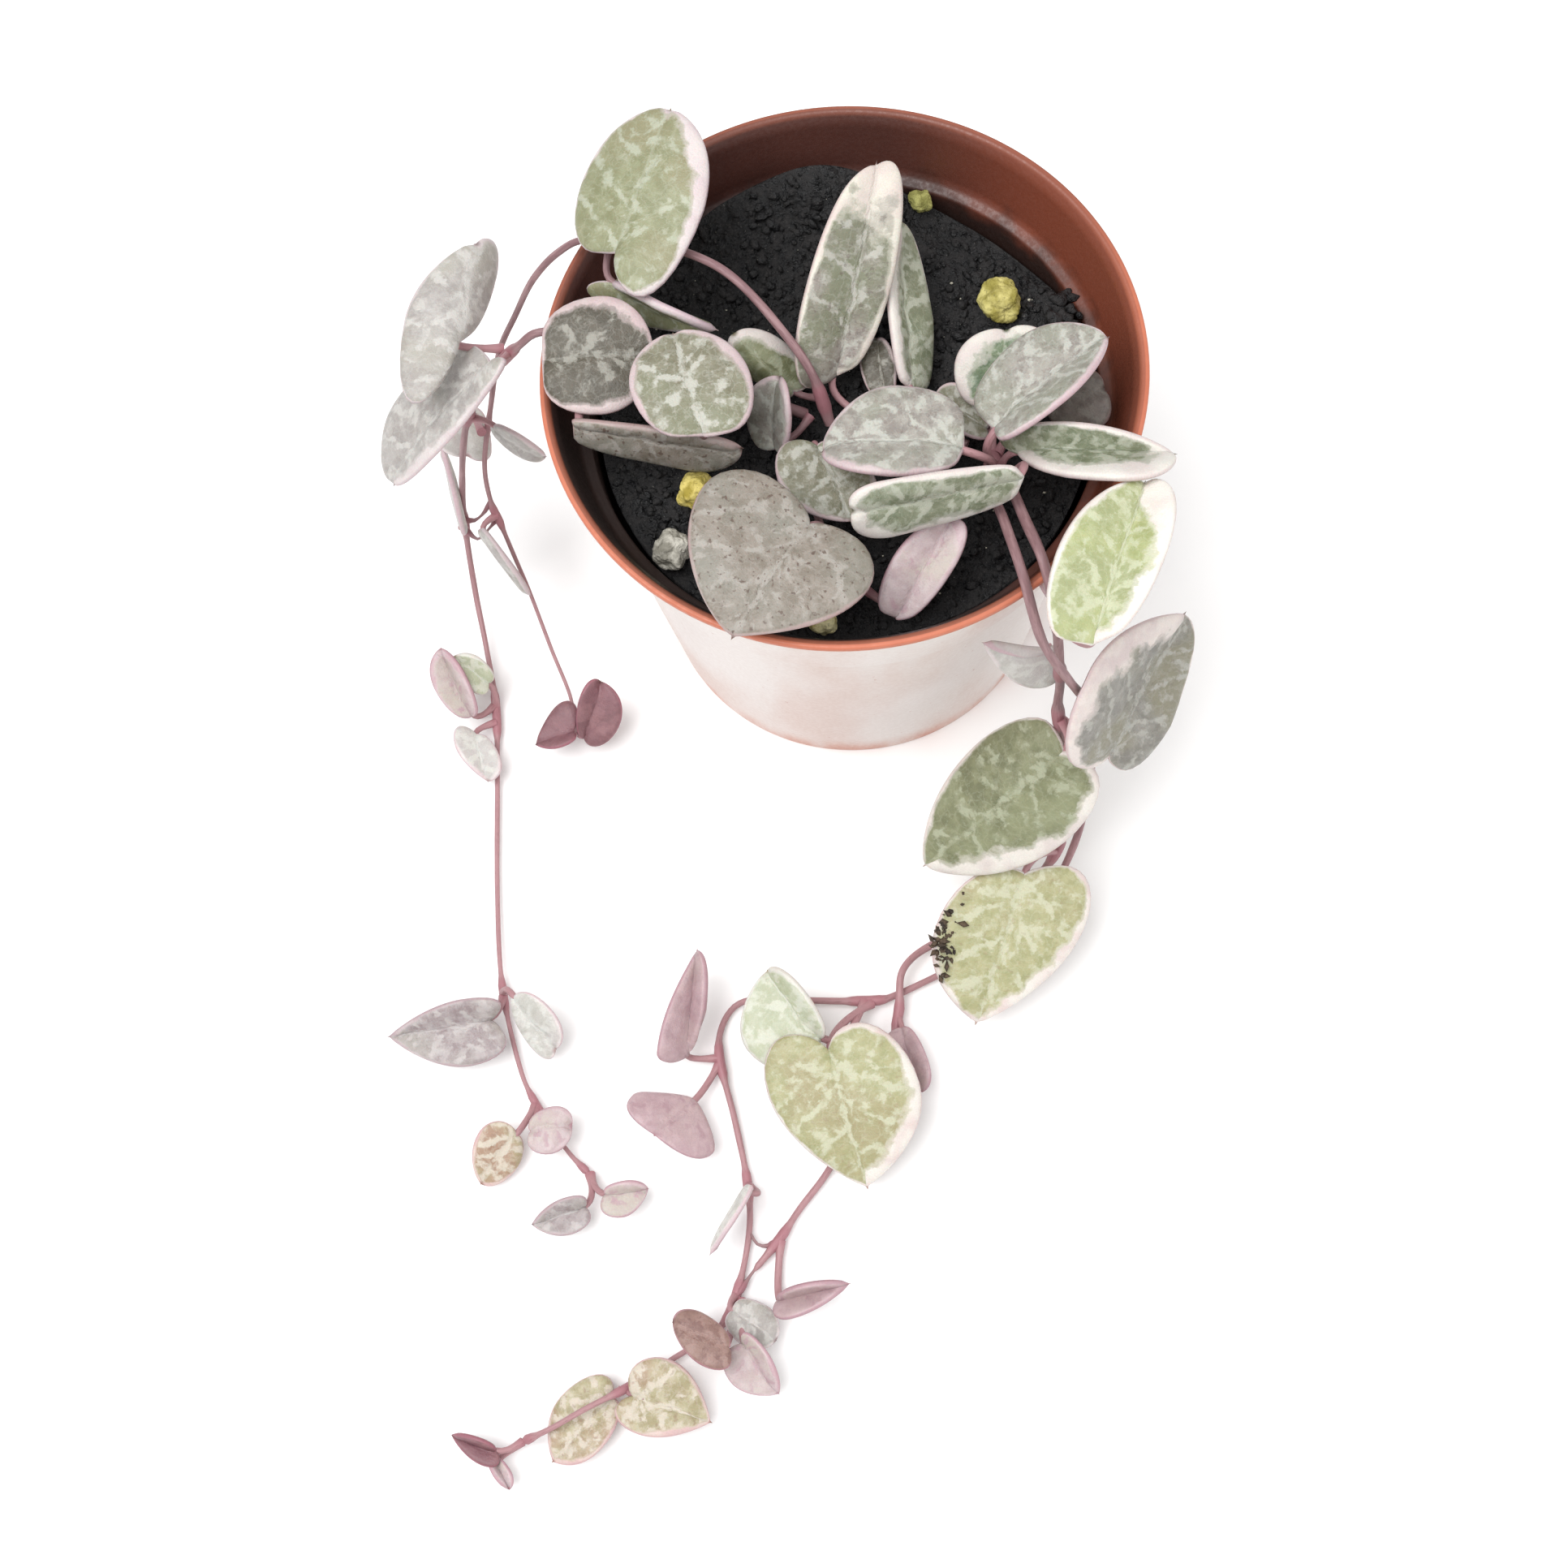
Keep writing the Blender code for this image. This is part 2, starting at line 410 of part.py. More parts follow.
def leaf_sheet(base, tip, left, right, widest, sharpness, lobes, rise, root):
    """Points, faces and thickness shares of a leaf's middle surface, petiole included."""
    base, tip, left, right, root = (Vector(point) for point in (base, tip, left, right, root))
    length = tip - base
    reach_left = left - (base + length * widest)
    reach_right = right - (base + length * widest)
    across = (reach_right - reach_left).normalized()
    up = across.cross(length).normalized()

    points = []
    shares = []
    start = root + (base - root).normalized() * PETIOLE_CLEARANCE
    petiole_steps = 3 if (base - start).length > 3 else 1
    for step in range(petiole_steps + 1):
        t = step / petiole_steps
        place = start.lerp(base, t)
        half = across * PETIOLE_WIDTH / 2
        points += [place - half, place, place + half]
        shares += [MARGIN_SHARE if step == petiole_steps else PETIOLE_WIDTH] * 3
    left_side = side_outline(widest, sharpness[0], lobes[0])
    right_side = side_outline(widest, sharpness[1], lobes[1])
    fan = len(left_side) - len(SIDE_STEPS)
    for index, (left_place, right_place) in enumerate(zip(left_side, right_side)):
        along = widest * 0.5 * (index + 1) / fan if index < fan else left_place[0]
        lift = up * rise * 4 * along * (1 - along)
        points += [
            base + length * left_place[0] + reach_left * left_place[1] + lift,
            base + length * along + lift,
            base + length * right_place[0] + reach_right * right_place[1] + lift,
        ]
        shares += [MARGIN_SHARE, 1.0, MARGIN_SHARE]
    faces = []
    rows = len(points) // 3
    for row in range(rows - 1):
        first = row * 3
        for column in (0, 1):
            corner = first + column
            faces.append((corner, corner + 1, corner + 4, corner + 3))
    points.append(tip)
    shares.append(MARGIN_SHARE)
    last = (rows - 1) * 3
    faces.append((last, last + 1, rows * 3))
    faces.append((last + 1, last + 2, rows * 3))
    return points, faces, shares


def make_leaf(row, materials, parent):
    name = row[0]
    points, faces, shares = leaf_sheet(*row[1:])
    mesh = mesh_from(name, points, faces)
    mesh.shade_smooth()
    kind = "pink" if name in PINK_LEAVES else "grey" if name in GREY_LEAVES else "green"
    leaf = add_object(name, mesh, materials[kind], parent)
    group = leaf.vertex_groups.new(name="thickness")
    for index, share in enumerate(shares):
        group.add([index], share, "REPLACE")
    solid = leaf.modifiers.new("thickness", "SOLIDIFY")
    solid.thickness = LEAF_THICKNESS * MM
    solid.offset = 0.0
    solid.vertex_group = group.name
    solid.use_rim = True


def main():
    clear_scene()
    plant = bpy.data.objects.new("potted_string_of_hearts", None)
    bpy.context.scene.collection.objects.link(plant)
    make_pot(plant)
    make_soil(plant)
    for granule in GRANULES:
        make_granule(*granule, plant)
    stem_material = plain_material("stem", STEM_MAUVE, 0.6)
    for name, route in STEMS:
        make_stem(name, route, stem_material, plant)
    leaf_materials = {
        "green": plain_material("leaf_green", LEAF_GREEN, 0.5),
        "grey": plain_material("leaf_grey", LEAF_GREY, 0.5),
        "pink": plain_material("leaf_pink", LEAF_PINK, 0.5),
    }
    for row in LEAVES:
        make_leaf(row, leaf_materials, plant)


main()
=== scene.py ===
"""Looks for the potted string of hearts: detailed pot, soil, granules, stems and leaves.

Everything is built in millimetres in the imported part's own frame (pot axis = Z, floor at z = 0)
and turned into metres by MM. Routes and leaf control points repeat the CAD model's.
"""
import json
import math
import random
from collections import namedtuple

import bmesh
import bpy
import numpy as np
from mathutils import Matrix, Vector, noise

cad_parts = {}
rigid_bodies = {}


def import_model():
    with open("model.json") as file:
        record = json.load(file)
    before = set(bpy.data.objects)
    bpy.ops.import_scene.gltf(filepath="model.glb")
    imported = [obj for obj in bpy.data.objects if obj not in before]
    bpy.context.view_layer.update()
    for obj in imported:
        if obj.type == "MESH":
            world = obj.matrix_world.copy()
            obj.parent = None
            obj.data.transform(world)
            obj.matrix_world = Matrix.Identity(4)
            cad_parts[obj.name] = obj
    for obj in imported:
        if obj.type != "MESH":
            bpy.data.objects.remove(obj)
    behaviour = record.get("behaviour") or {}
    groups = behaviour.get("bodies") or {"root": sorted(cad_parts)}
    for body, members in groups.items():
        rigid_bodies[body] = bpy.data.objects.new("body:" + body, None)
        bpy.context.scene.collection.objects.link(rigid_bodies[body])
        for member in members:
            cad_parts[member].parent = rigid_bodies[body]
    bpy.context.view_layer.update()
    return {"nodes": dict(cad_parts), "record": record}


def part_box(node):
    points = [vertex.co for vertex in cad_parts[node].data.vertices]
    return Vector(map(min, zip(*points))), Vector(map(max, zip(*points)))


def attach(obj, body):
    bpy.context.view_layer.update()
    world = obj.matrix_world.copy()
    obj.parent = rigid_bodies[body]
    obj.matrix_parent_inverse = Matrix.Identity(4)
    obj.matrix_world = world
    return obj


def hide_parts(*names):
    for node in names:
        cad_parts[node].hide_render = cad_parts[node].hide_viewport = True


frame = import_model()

MM = 0.001
BODY = "root"


def box_mm(node):
    """Lowest and highest corners of a CAD node, in millimetres."""
    low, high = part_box(node)
    return np.array(low) / MM, np.array(high) / MM


# Pot and soil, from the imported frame
POT_LOW, POT_HIGH = box_mm("pot")
RIM_RADIUS = (POT_HIGH[0] - POT_LOW[0]) / 2
RIM_HEIGHT = POT_HIGH[2]
SOIL_RADIUS = (box_mm("soil")[1][0] - box_mm("soil")[0][0]) / 2
BASE_RADIUS = 24.0
FLOOR_THICKNESS = 1.6
POT_SEGMENTS = 192
DRAIN_HOLES = 6
DRAIN_RADIUS = 1.8
DRAIN_CIRCLE = 16.0
DRAIN_SEGMENTS = 24
CUT_BEYOND = 1.0
CORNER_STEPS = 4
POT_CREASE = 40
SOIL_TOP = 45.0
SOIL_CELLS = 230
SOIL_EDGE = 1.5
SOIL_ROUGHNESS = 0.9
SOIL_TAPER = 0.82
SOIL_CLEARANCE = 0.3
SOIL_SEED = 3
CRUMBS = 3600
CRUMB_SIZES = (0.12, 0.85)
CRUMB_LIFT = 0.25
CRUMB_INSET = 0.8
PERLITE_FLECKS = 130
FLECK_SIZES = (0.07, 0.30)
FLECK_LIFT = 0.9
FLECK_INSET = 1.5
CLOD_LUMPS = 16
CLOD_SIZES = (0.8, 1.7)
CLOD_LIFT = 0.6
CLOD_CENTRE = (25.2, 6.6)
CLOD_SPREAD = 3.4
CRUMB_STRETCH = ((0.6, 1.4), (0.5, 1.2), (0.45, 0.9))
CRUMB_JITTER = (0.75, 1.2)
SPIN_RANGE = 6.28
DIRTY_LEAF = "leaf_right_04"
DIRT_SEED = 11
DIRT_CRUMBS = 70
DIRT_SIZES = (0.12, 0.55)
DIRT_ROWS = (16, 2.2, 10, 24)
DIRT_COLUMNS = (3.0, 1.2, 1, 6)
DIRT_SHAPE = (
    (1.6, 0, 0), (0, 0.8, 0.2), (-1.3, 0.1, 0), (0, -0.7, 0.1), (0.2, 0, 0.7), (-0.1, 0.1, -0.6),
)
NO_CREASE = 180
GRAIN_SUBDIVISIONS = 5

# Mounds of soil: centre x, y, spread and height
SOIL_MOUNDS = (
    (1, 31, 11, 8.5), (-13, 25, 8, 4.0), (24, 6, 6, 3.5), (-4, -2, 10, 1.0), (14, -9, 8, 1.2),
    (-20, -8, 8, 0.8), (2, -22, 8, 0.6),
)

# Plant
STEM_SIDES = 14
STEM_SPACING = 0.7
NODE_SWELLING = 0.24
NODE_LENGTH = 0.9
NODE_GAP = 1.0
TAPER_POWER = 0.7
STEM_WOBBLE = 0.10
WOBBLE_SCALE = 0.25
STEM_TIP_SHARE = 0.45
PETIOLE_BEND = 0.38
PETIOLE_SPACING = 0.5
PETIOLE_THINNEST = 0.30
PETIOLE_THICKEST = 0.46
LEAF_THICKNESS = 1.0
LEAF_DOME = 0.07
LEAF_RIPPLE = 0.30
RIPPLE_PERIOD = 4.5
LEAF_CREASE = 70
PATTERN_SHIFT = 9.7
SKIN_SHIFT = 3.1
FULL_TURN = 2 * math.pi
COLUMNS = 11
LOBE_ROWS = 15
SIDE_ROWS = 20
SHOULDER = 0.45
APEX_SHARE = 0.035

# Camera
EYE = (-12.74, -118.70, 271.29)
VIEW_PITCH = 71.246
VIEW_ROLL = 8.457
FOCAL_LENGTH = 52.17
SENSOR = 36.0
CLIP_START = 0.01

# Stage, in metres
FLOOR_HALF = 1.5
LIT_POINT = (0, -0.02, 0.03)

# Lights: name, place, size and power; and the strength of the even light from all round
LIGHTS = (
    ("key", (-0.22, -0.10, 0.62), 0.45, 4.0),
    ("fill", (0.45, -0.25, 0.45), 0.6, 1.5),
)
WORLD_STRENGTH = 0.62

# Granules: the CAD node, and two colours from 0 to 255
GRAIN_COLOURS = {
    "granule_yellow_right": ((146, 136, 62), (202, 192, 120)),
    "granule_yellow_left": ((170, 152, 60), (226, 208, 120)),
    "granule_perlite_grey": ((140, 136, 124), (206, 202, 190)),
    "granule_pale_front": ((190, 174, 110), (236, 226, 176)),
    "granule_yellow_rear": ((130, 128, 66), (176, 174, 104)),
}

# Stems: name and the points of the route, from the soil to the growing tip
STEMS = (
    ("stem_left_rear", (
        (-2, -3, 49.0), (-3.3, 0.7, 54), (-6, 5, 57), (-9.5, 9.5, 59.5), (-13, 12.5, 60.5),
        (-18.5, 15.5, 60.5), (-25, 18, 59), (-28.5, 18.5, 56.6), (-32, 18.5, 52), (-35, 18, 46),
        (-38, 17, 40), (-40.5, 15, 32), (-43, 11.5, 24), (-43.5, 9.5, 17.5), (-43, 8, 15),
        (-42, 4.5, 11), (-41, 1, 7.5), (-39.5, -5.5, 4), (-38, -11.5, 2.5), (-38, -15.5, 2.0))),
    ("stem_left_front", (
        (-4.5, -1.2, 48.6), (-8, -0.3, 51), (-14, 2, 53), (-20.5, 5, 54.5), (-27, 7.7, 57),
        (-31.5, 8.3, 57.8), (-34, 8.5, 55.5), (-36.5, 9.5, 51), (-39, 10.5, 45), (-42.5, 11.5, 37),
        (-45, 11, 28), (-47.5, 10, 14), (-48.3, 4, 5), (-48, -3, 2.2), (-47.7, -11, 1.2),
        (-48.5, -20.5, 1.0), (-50, -35.5, 1.0), (-50.5, -47.5, 1.6), (-49.5, -57.5, 1.2),
        (-48, -62.5, 1.6), (-45, -68.5, 1.2), (-42.5, -72, 1.4))),
    ("stem_right_long", (
        (14.5, -9.5, 49.0), (15.5, -15.5, 53), (16, -21, 56), (16.7, -26.5, 58), (17.6, -30, 53.5),
        (18.4, -31.8, 44), (19, -32, 36), (19, -33, 30), (19.7, -36, 23), (20, -39.5, 16),
        (18.5, -43, 9), (14, -46.5, 4.5), (8.5, -49.5, 2.2), (2.5, -50.3, 1.4), (-1.8, -53.3, 2.8),
        (-3.2, -58.5, 1.6), (-6.8, -67.5, 1.0), (-12, -73, 1.0), (-15, -76.5, 1.0),
        (-18.3, -79.7, 1.0), (-21, -82.7, 1.2), (-24.6, -86, 1.0))),
    ("stem_right_second", (
        (13.0, -12.5, 49.0), (13.7, -18, 54), (14, -23.6, 57.3), (14.5, -28, 57.6),
        (16, -32.5, 51), (19, -34.5, 43.5), (22, -33.6, 33), (23.5, -33.4, 25), (23, -37, 16),
        (21, -42, 8.5), (16.5, -47.5, 3.5), (10, -52, 1.6), (3, -54, 1.0), (-2.9, -55.8, 1.0),
        (-6, -56.2, 1.4), (-13.3, -55, 1.2), (-17.6, -54, 1.0), (-22, -54, 1.0), (-24.5, -56.5, 1.0),
        (-25.3, -60.6, 1.4), (-24.5, -68, 1.0), (-24, -76, 1.0), (-24.7, -82, 1.0),
        (-27.3, -89, 1.0), (-30, -92.3, 1.0), (-35, -94.5, 1.2), (-38.7, -96.3, 1.6),
        (-41.4, -97.5, 3.4), (-45.6, -99, 4.6), (-49.7, -100.5, 4.0), (-53.5, -101.4, 2.0))),
    ("stem_front_short", (
        (-2.4, -5.5, 48.2), (-5, -10, 49), (-4, -19.5, 50), (-1.0, -23.4, 49.5))),
    ("stem_soil_runner", (
        (12.3, -8.0, 49.2), (7.4, -4.5, 48.8), (2.6, -2.6, 48.6), (0.6, -2.6, 48.6))),
)

# Thin strands between neighbouring stems: radii of both ends, then name and route
TWIG_ENDS = (0.18, 0.15)
TWIGS = (
    ("twig_left_upper", (
        (-47.5, 9.5, 14), (-46.2, 9.2, 14), (-44.6, 9.5, 15.5), (-43.3, 10.1, 18))),
    ("twig_left_lower", (
        (-47.8, 8.9, 13), (-46.3, 7.3, 12.5), (-44.7, 7.9, 13.5), (-43.2, 8.6, 15))),
    ("twig_right_cross", (
        (-24.4, -81.8, 1.2), (-23.8, -83, 1), (-22.6, -83.4, 1), (-21.5, -82.9, 1.2))),
    ("twig_right_end", (
        (-24, -85.4, 1), (-25.2, -86.6, 1.1), (-26.9, -88.6, 1.4))),
)

# Radius of each stem where it leaves the soil and at its tip
STEM_ENDS = {
    "stem_left_rear": (0.56, 0.22),
    "stem_left_front": (0.54, 0.27),
    "stem_right_long": (0.64, 0.40),
    "stem_right_second": (0.58, 0.32),
    "stem_front_short": (0.50, 0.42),
    "stem_soil_runner": (0.50, 0.45),
}

# Leaves: name, base, tip, widest point of the left side, widest point of the right side, share of
# the length at the widest point, sharpness of the two sides, length of the two lobes, rise of the
# midrib, and the point on the stem where the petiole starts; then the palette, the width of the
# pale margin on the left, on the right and at the tip, and, where it is not USUAL_HUB, the share of
# the length at which the main veins meet. A single number stands for equal pairs or triples.
LEAVES = (
    ("leaf_pot_01", (-21.6, 13.5, 62.5), (-14, 28, 66), (-24.6, 23.3, 61), (-12.1, 15.9, 64),
     0.42, (0.45, 0.5), (0.02, 0.24), 0.5, (-20.5, 15.8, 60), "green", (0.6, 1.5, 1.2)),
    ("leaf_pot_02", (-23, 13.5, 57), (-12.5, 6, 56.5), (-18, 7.5, 61), (-22, 11, 53.5),
     0.4, 0.8, (0.02, 0.12), 0.0, (-22.5, 17, 59.5), "green", (0.9, 0.7, 0.8)),
    ("leaf_pot_03", (-31.5, 4, 59), (-19.6, 2.7, 59.5), (-24.6, 9.6, 61), (-26, -2.5, 57.5),
     0.48, 0.5, 0.0, 0.3, (-27, 7.7, 57), "dark", (1.3, 1.0, 0.8), 0.45),
    ("leaf_pot_04", (-15.6, -8.6, 61), (-17.3, 3.5, 62), (-22.5, -2.9, 61.5), (-9.9, -2.8, 61.5),
     0.42, (0.7, 0.5), (0.0, 0.03), 0.6, (-15, -1, 53.5), "sage", (0.7, 1.0, 0.7), 0.48),
    ("leaf_pot_05", (-5.5, 1.0, 50.5), (-11, 6.5, 55), (-10.5, 4.5, 50.5), (-5.5, 6, 52),
     0.45, 0.6, 0.1, 0.8, (-2.5, -1, 51.5), "olive", (0.6, 1.3, 0.8)),
    ("leaf_pot_06", (-8, -5.5, 50.5), (-6.7, 0, 56), (-10.5, -1, 51.5), (-6, -5, 55.5),
     0.4, 0.6, 0.1, 0.5, (-4, -2.2, 50), "mauve", (0.7, 0.8, 0.6)),
    ("leaf_pot_07", (-29.2, -2.9, 57.2), (-11.7, -8, 56), (-16.6, -6.4, 58.2), (-17.1, -7.5, 52),
     0.72, (0.6, 0.5), 0.0, 0.0, (-25, 6.5, 56), "brown", (0.6, 0.4, 0.6)),
    ("leaf_pot_08", (-6.5, -19.8, 59.5), (-15.9, -30.6, 59), (-1.4, -27.5, 59), (-16.4, -14.2, 61),
     0.2, (0.98, 0.6), (0.1, 0.14), 0.6, (-3.5, -20.5, 49.8), "brown", (0.4, 0.4, 0.5), 0.03),
    ("leaf_pot_09", (-1, 1.7, 50.5), (6.9, 20.5, 62), (-3.8, 6.8, 56.5), (6.7, 9.8, 55.3),
     0.36, (0.38, 0.36), (0.02, 0.0), 0.6, (2, -2.6, 48.6), "mixed", (0.6, 1.3, 5.5)),
    ("leaf_pot_10", (7.2, -0.4, 49.5), (8.7, 17.9, 54.5), (6.4, 8.5, 54.2), (11.3, 8, 49),
     0.45, (0.55, 0.5), 0.0, -0.6, (7.4, -4.5, 48.8), "fresh", (1.9, 0.3, 0.6)),
    ("leaf_pot_11", (4.6, 0.0, 48.6), (4.6, 6.2, 49.9), (2.3, 3.2, 49.0), (6.2, 2.8, 49.6),
     0.35, 0.6, (0.15, 0.1), 0.4, (5.5, -3.6, 48.7), "dark", 0.4),
    ("leaf_pot_12", (-4, -8.5, 54), (-1.5, -17, 53), (1.5, -12.5, 53.5), (-8.5, -12.5, 54),
     0.35, (0.65, 0.7), (0.15, 0.2), 0.4, (-3.5, -6.8, 48.4), "sage", (0.7, 0.7, 0.6)),
    ("leaf_pot_13", (10.7, -13.8, 59.5), (-4, -11.3, 59), (2.4, -17, 61.5), (5.6, -5.5, 58.5),
     0.42, 0.6, 0.0, 1.0, (14, -11.5, 50.5), "mauve", (0.6, 0.6, 0.5)),
    ("leaf_pot_14", (16.2, -17.8, 60), (-2, -19.8, 62.2), (1.5, -20.8, 57), (1.3, -18.5, 65),
     0.72, 0.5, 0.0, 0.0, (15.3, -14.5, 52.5), "fresh", (1.8, 0.7, 1.4)),
    ("leaf_pot_15", (1.5, -27.2, 50), (8.6, -18.8, 54.6), (1.7, -22.3, 54), (8.6, -23.4, 53.5),
     0.45, (0.6, 0.55), (0.0, 0.05), 0.0, (-1, -23.4, 49.5), "blush", (0.5, 0.9, 0.6)),
    ("leaf_pot_16", (16, -4.5, 51.5), (18, 2, 55), (12, -0.5, 53.5), (22, -1, 54),
     0.35, 0.55, 0.15, 0.4, (14.6, -9.8, 49.4), "deep", (2.0, 1.6, 1.2)),
    ("leaf_pot_17", (14.4, -11.5, 58.5), (27.3, -4.8, 62.5), (18.2, -1.9, 59), (21.3, -12, 64),
     0.5, (0.55, 0.7), 0.02, 0.0, (14.8, -12, 51), "mauve", (0.4, 0.5, 0.5)),
    ("leaf_pot_19", (21.5, -5, 50), (27.6, -5.5, 52.5), (25, -1.5, 50.2), (26, -9.3, 50.5),
     0.45, 0.5, 0.1, 0.3, (15.2, -9.8, 49.4), "shade", 0.3),
    ("leaf_pot_20", (16.8, -12.6, 55), (32.5, -17, 58), (21.5, -12.2, 59.5), (25, -20, 60.3),
     0.35, (0.8, 0.75), (0.1, 0.05), 0.0, (15, -12.5, 51.5), "fresh", (0.5, 3.0, 3.0)),
    ("leaf_pot_21", (19.9, -36.4, 57.5), (28.7, -19.4, 58), (17.5, -27.6, 60.5), (29.1, -28.2, 60),
     0.45, 0.5, 0.0, 0.6, (17.6, -31, 51.5), "lime", (0.6, 2.4, 0.8), 0.25),
    ("leaf_right_01", (18.8, -29.2, 40), (10.6, -28.4, 42.6), (16.2, -31.4, 34.5), (14.8, -29.8, 40.5),
     0.3, 0.9, (0.1, 0.02), 0.0, (18.7, -31.9, 39.5), "pale", (0.8, 0.8, 0.6)),
    ("leaf_right_02", (23.8, -38.6, 29.5), (34.2, -26.1, 37), (21.2, -35, 43), (31.8, -36.2, 28),
     0.32, (0.75, 0.55), (0.17, 0.07), -1.0, (19.2, -33.5, 29), "slate", (3.6, 0.4, 0.6)),
    ("leaf_right_03", (19.1, -37, 27.5), (2, -43.8, 13), (18.7, -44.6, 18), (11, -32.1, 22),
     0.3, 0.75, (0.07, 0.04), 0.8, (19.2, -34, 29.6), "olive", (2.6, 0.7, 0.6)),
    ("leaf_right_04", (13.8, -46.3, 12), (5.5, -61.9, 5.2), (20.5, -52, 9), (2.5, -50.5, 10.5),
     0.3, (0.8, 0.95), 0.06, 0.4, (18.5, -43, 9), "rosy", (1.7, 0.7, 0.7)),
    ("leaf_right_05", (-13, -61, 8), (-18, -52.5, 10), (-21.5, -61.5, 8), (-14, -56, 12),
     0.35, 0.65, (0.15, 0.1), 0.3, (-7, -56.2, 1.6), "mint", (0.5, 0.6, 0.5)),
    ("leaf_right_06", (-12, -64, 8.5), (-10, -79, 3.6), (-2.2, -68, 7.5), (-20, -66.4, 7.2),
     0.22, (0.95, 0.9), (0.26, 0.2), 0.8, (-6.2, -56.6, 1.6), "rosy", (1.8, 0.5, 0.6)),
    ("leaf_right_07", (-29.1, -59.7, 3), (-25.9, -47.8, 7), (-32.3, -59.9, 7), (-25.9, -55.3, 7.5),
     0.1, (1, 0.9), 0.02, 0.0, (-25.5, -60.4, 1.4), "pink", 0.2),
    ("leaf_right_08", (-29, -65.5, 3), (-34, -69.5, 6), (-27.5, -72, 3), (-36, -64, 4.5),
     0.05, 1.0, 0.05, 0.0, (-25.5, -61.2, 1.4), "pink", 0.2),
    ("leaf_right_09", (-22, -90, 2.6), (-13.5, -89.5, 5), (-19.5, -89, 6), (-21, -92.5, 5.5),
     0.18, 0.9, 0.08, 0.0, (-21.0, -83, 1.2), "pink", 0.3),
    ("leaf_right_10", (-28.5, -94.8, 7), (-34.5, -91, 6.5), (-31.5, -96.5, 7), (-31, -90.5, 6),
     0.35, 0.7, 0.1, 0.3, (-27.5, -90.5, 1.2), "rust", 0.3),
    ("leaf_right_11", (-26.6, -94.5, 4.0), (-23.5, -100.5, 3), (-24, -96, 5.5), (-29, -98, 4),
     0.3, (0.75, 0.8), (0.2, 0.1), 0.3, (-26.4, -89.2, 1.2), "blush", (0.5, 0.4, 0.4)),
    ("leaf_right_12", (-39.6, -98.6, 3.4), (-31.5, -102.5, 3), (-35.4, -94.9, 4.6), (-40, -102.6, 4),
     0.22, 0.95, 0.2, 0.3, (-41.0, -97.2, 3.2), "warm", (0.5, 0.6, 0.5)),
    ("leaf_right_13", (-43.2, -98.3, 2.2), (-50.5, -104.2, 1.6), (-44.5, -103.5, 2.6), (-48.5, -97, 2.2),
     0.25, 0.95, (0.15, 0.25), 0.0, (-41.5, -97.2, 1.8), "warm", (0.5, 0.4, 0.4)),
    ("leaf_right_14", (-56.5, -102, 3), (-61.5, -99.5, 3), (-58, -103.5, 3.5), (-58, -100.5, 5),
     0.25, 0.85, (0.1, 0.05), 0.0, (-53.5, -101.4, 2.0), "red", 0.2),
    ("leaf_left_01", (-40.8, 9.3, 56.3), (-37.3, 20.3, 58), (-46, 12.7, 57), (-36.2, 18.7, 53.5),
     0.42, 0.5, (0.5, 0.03), 0.5, (-36.2, 10.4, 52), "silver", (0.5, 0.9, 0.8)),
    ("leaf_left_02", (-37.3, 6.6, 55), (-50.8, -0.7, 45), (-42, 0.7, 52), (-47.8, 10.2, 46),
     0.45, (0.5, 0.6), (0.1, 0.05), 0.5, (-35.4, 9, 53.2), "silver", (0.9, 0.5, 0.5)),
    ("leaf_left_03", (-40.0, 10, 36), (-34.5, 6.5, 33), (-37, 7.5, 37.5), (-38, 8.0, 32),
     0.3, 0.8, (0.02, 0.1), 0.0, (-42.2, 11.3, 36), "silver", 0.4),
    ("leaf_left_04", (-43.5, 17.5, 28.5), (-45, 12.8, 24), (-42, 13, 24), (-48, 14.5, 26),
     0.6, 0.6, 0.03, 0.0, (-42.2, 12.6, 30), "pale", 0.4),
    ("leaf_left_05", (-50.5, -12.4, 3.8), (-53, -4.5, 8), (-54.5, -9.5, 6.5), (-50, -9.5, 8),
     0.3, 0.85, 0.1, 0.0, (-47.8, -10.8, 1.4), "blush", (0.6, 0.6, 0.5)),
    ("leaf_left_06", (-50.5, -15.2, 2.8), (-49.5, -21.5, 2.6), (-47.5, -19, 3.4), (-53, -16.5, 4),
     0.35, 0.8, (0.1, 0.15), 0.0, (-47.9, -13.2, 1.4), "pale", (0.5, 0.5, 0.4)),
    ("leaf_left_07", (-36.5, -17.5, 4), (-33.4, -12.2, 8), (-36.5, -14.5, 8), (-31.8, -17.2, 5.5),
     0.18, 0.75, (0.2, 0.25), 0.0, (-38, -15.5, 2), "red", 0.2),
    ("leaf_left_08", (-52.5, -52, 3.5), (-65, -52, 2.4), (-55, -57.4, 3.6), (-55, -49.8, 6.5),
     0.35, 0.85, 0.1, 0.0, (-50.5, -49, 1.8), "dusk", 0.4),
    ("leaf_left_09", (-48.5, -50.5, 6), (-44.5, -57, 3.5), (-44, -53, 7), (-47.5, -56, 3),
     0.3, 0.7, (0.1, 0.15), 0.0, (-50.4, -48.5, 1.8), "pale", 0.4),
    ("leaf_left_10", (-50.5, -66.5, 3.5), (-55.5, -71.5, 2), (-51, -70, 1.6), (-54.5, -65.5, 4.5),
     0.2, 0.8, (0.1, 0.12), 0.0, (-48, -62.8, 1.6), "warm", 0.4),
    ("leaf_left_11", (-48.3, -66.5, 4.6), (-43.5, -66.5, 4.2), (-45.5, -64, 5), (-46.5, -69.5, 4.4),
     0.35, 0.55, 0.15, 0.2, (-47.8, -63.2, 1.6), "blush", 0.4),
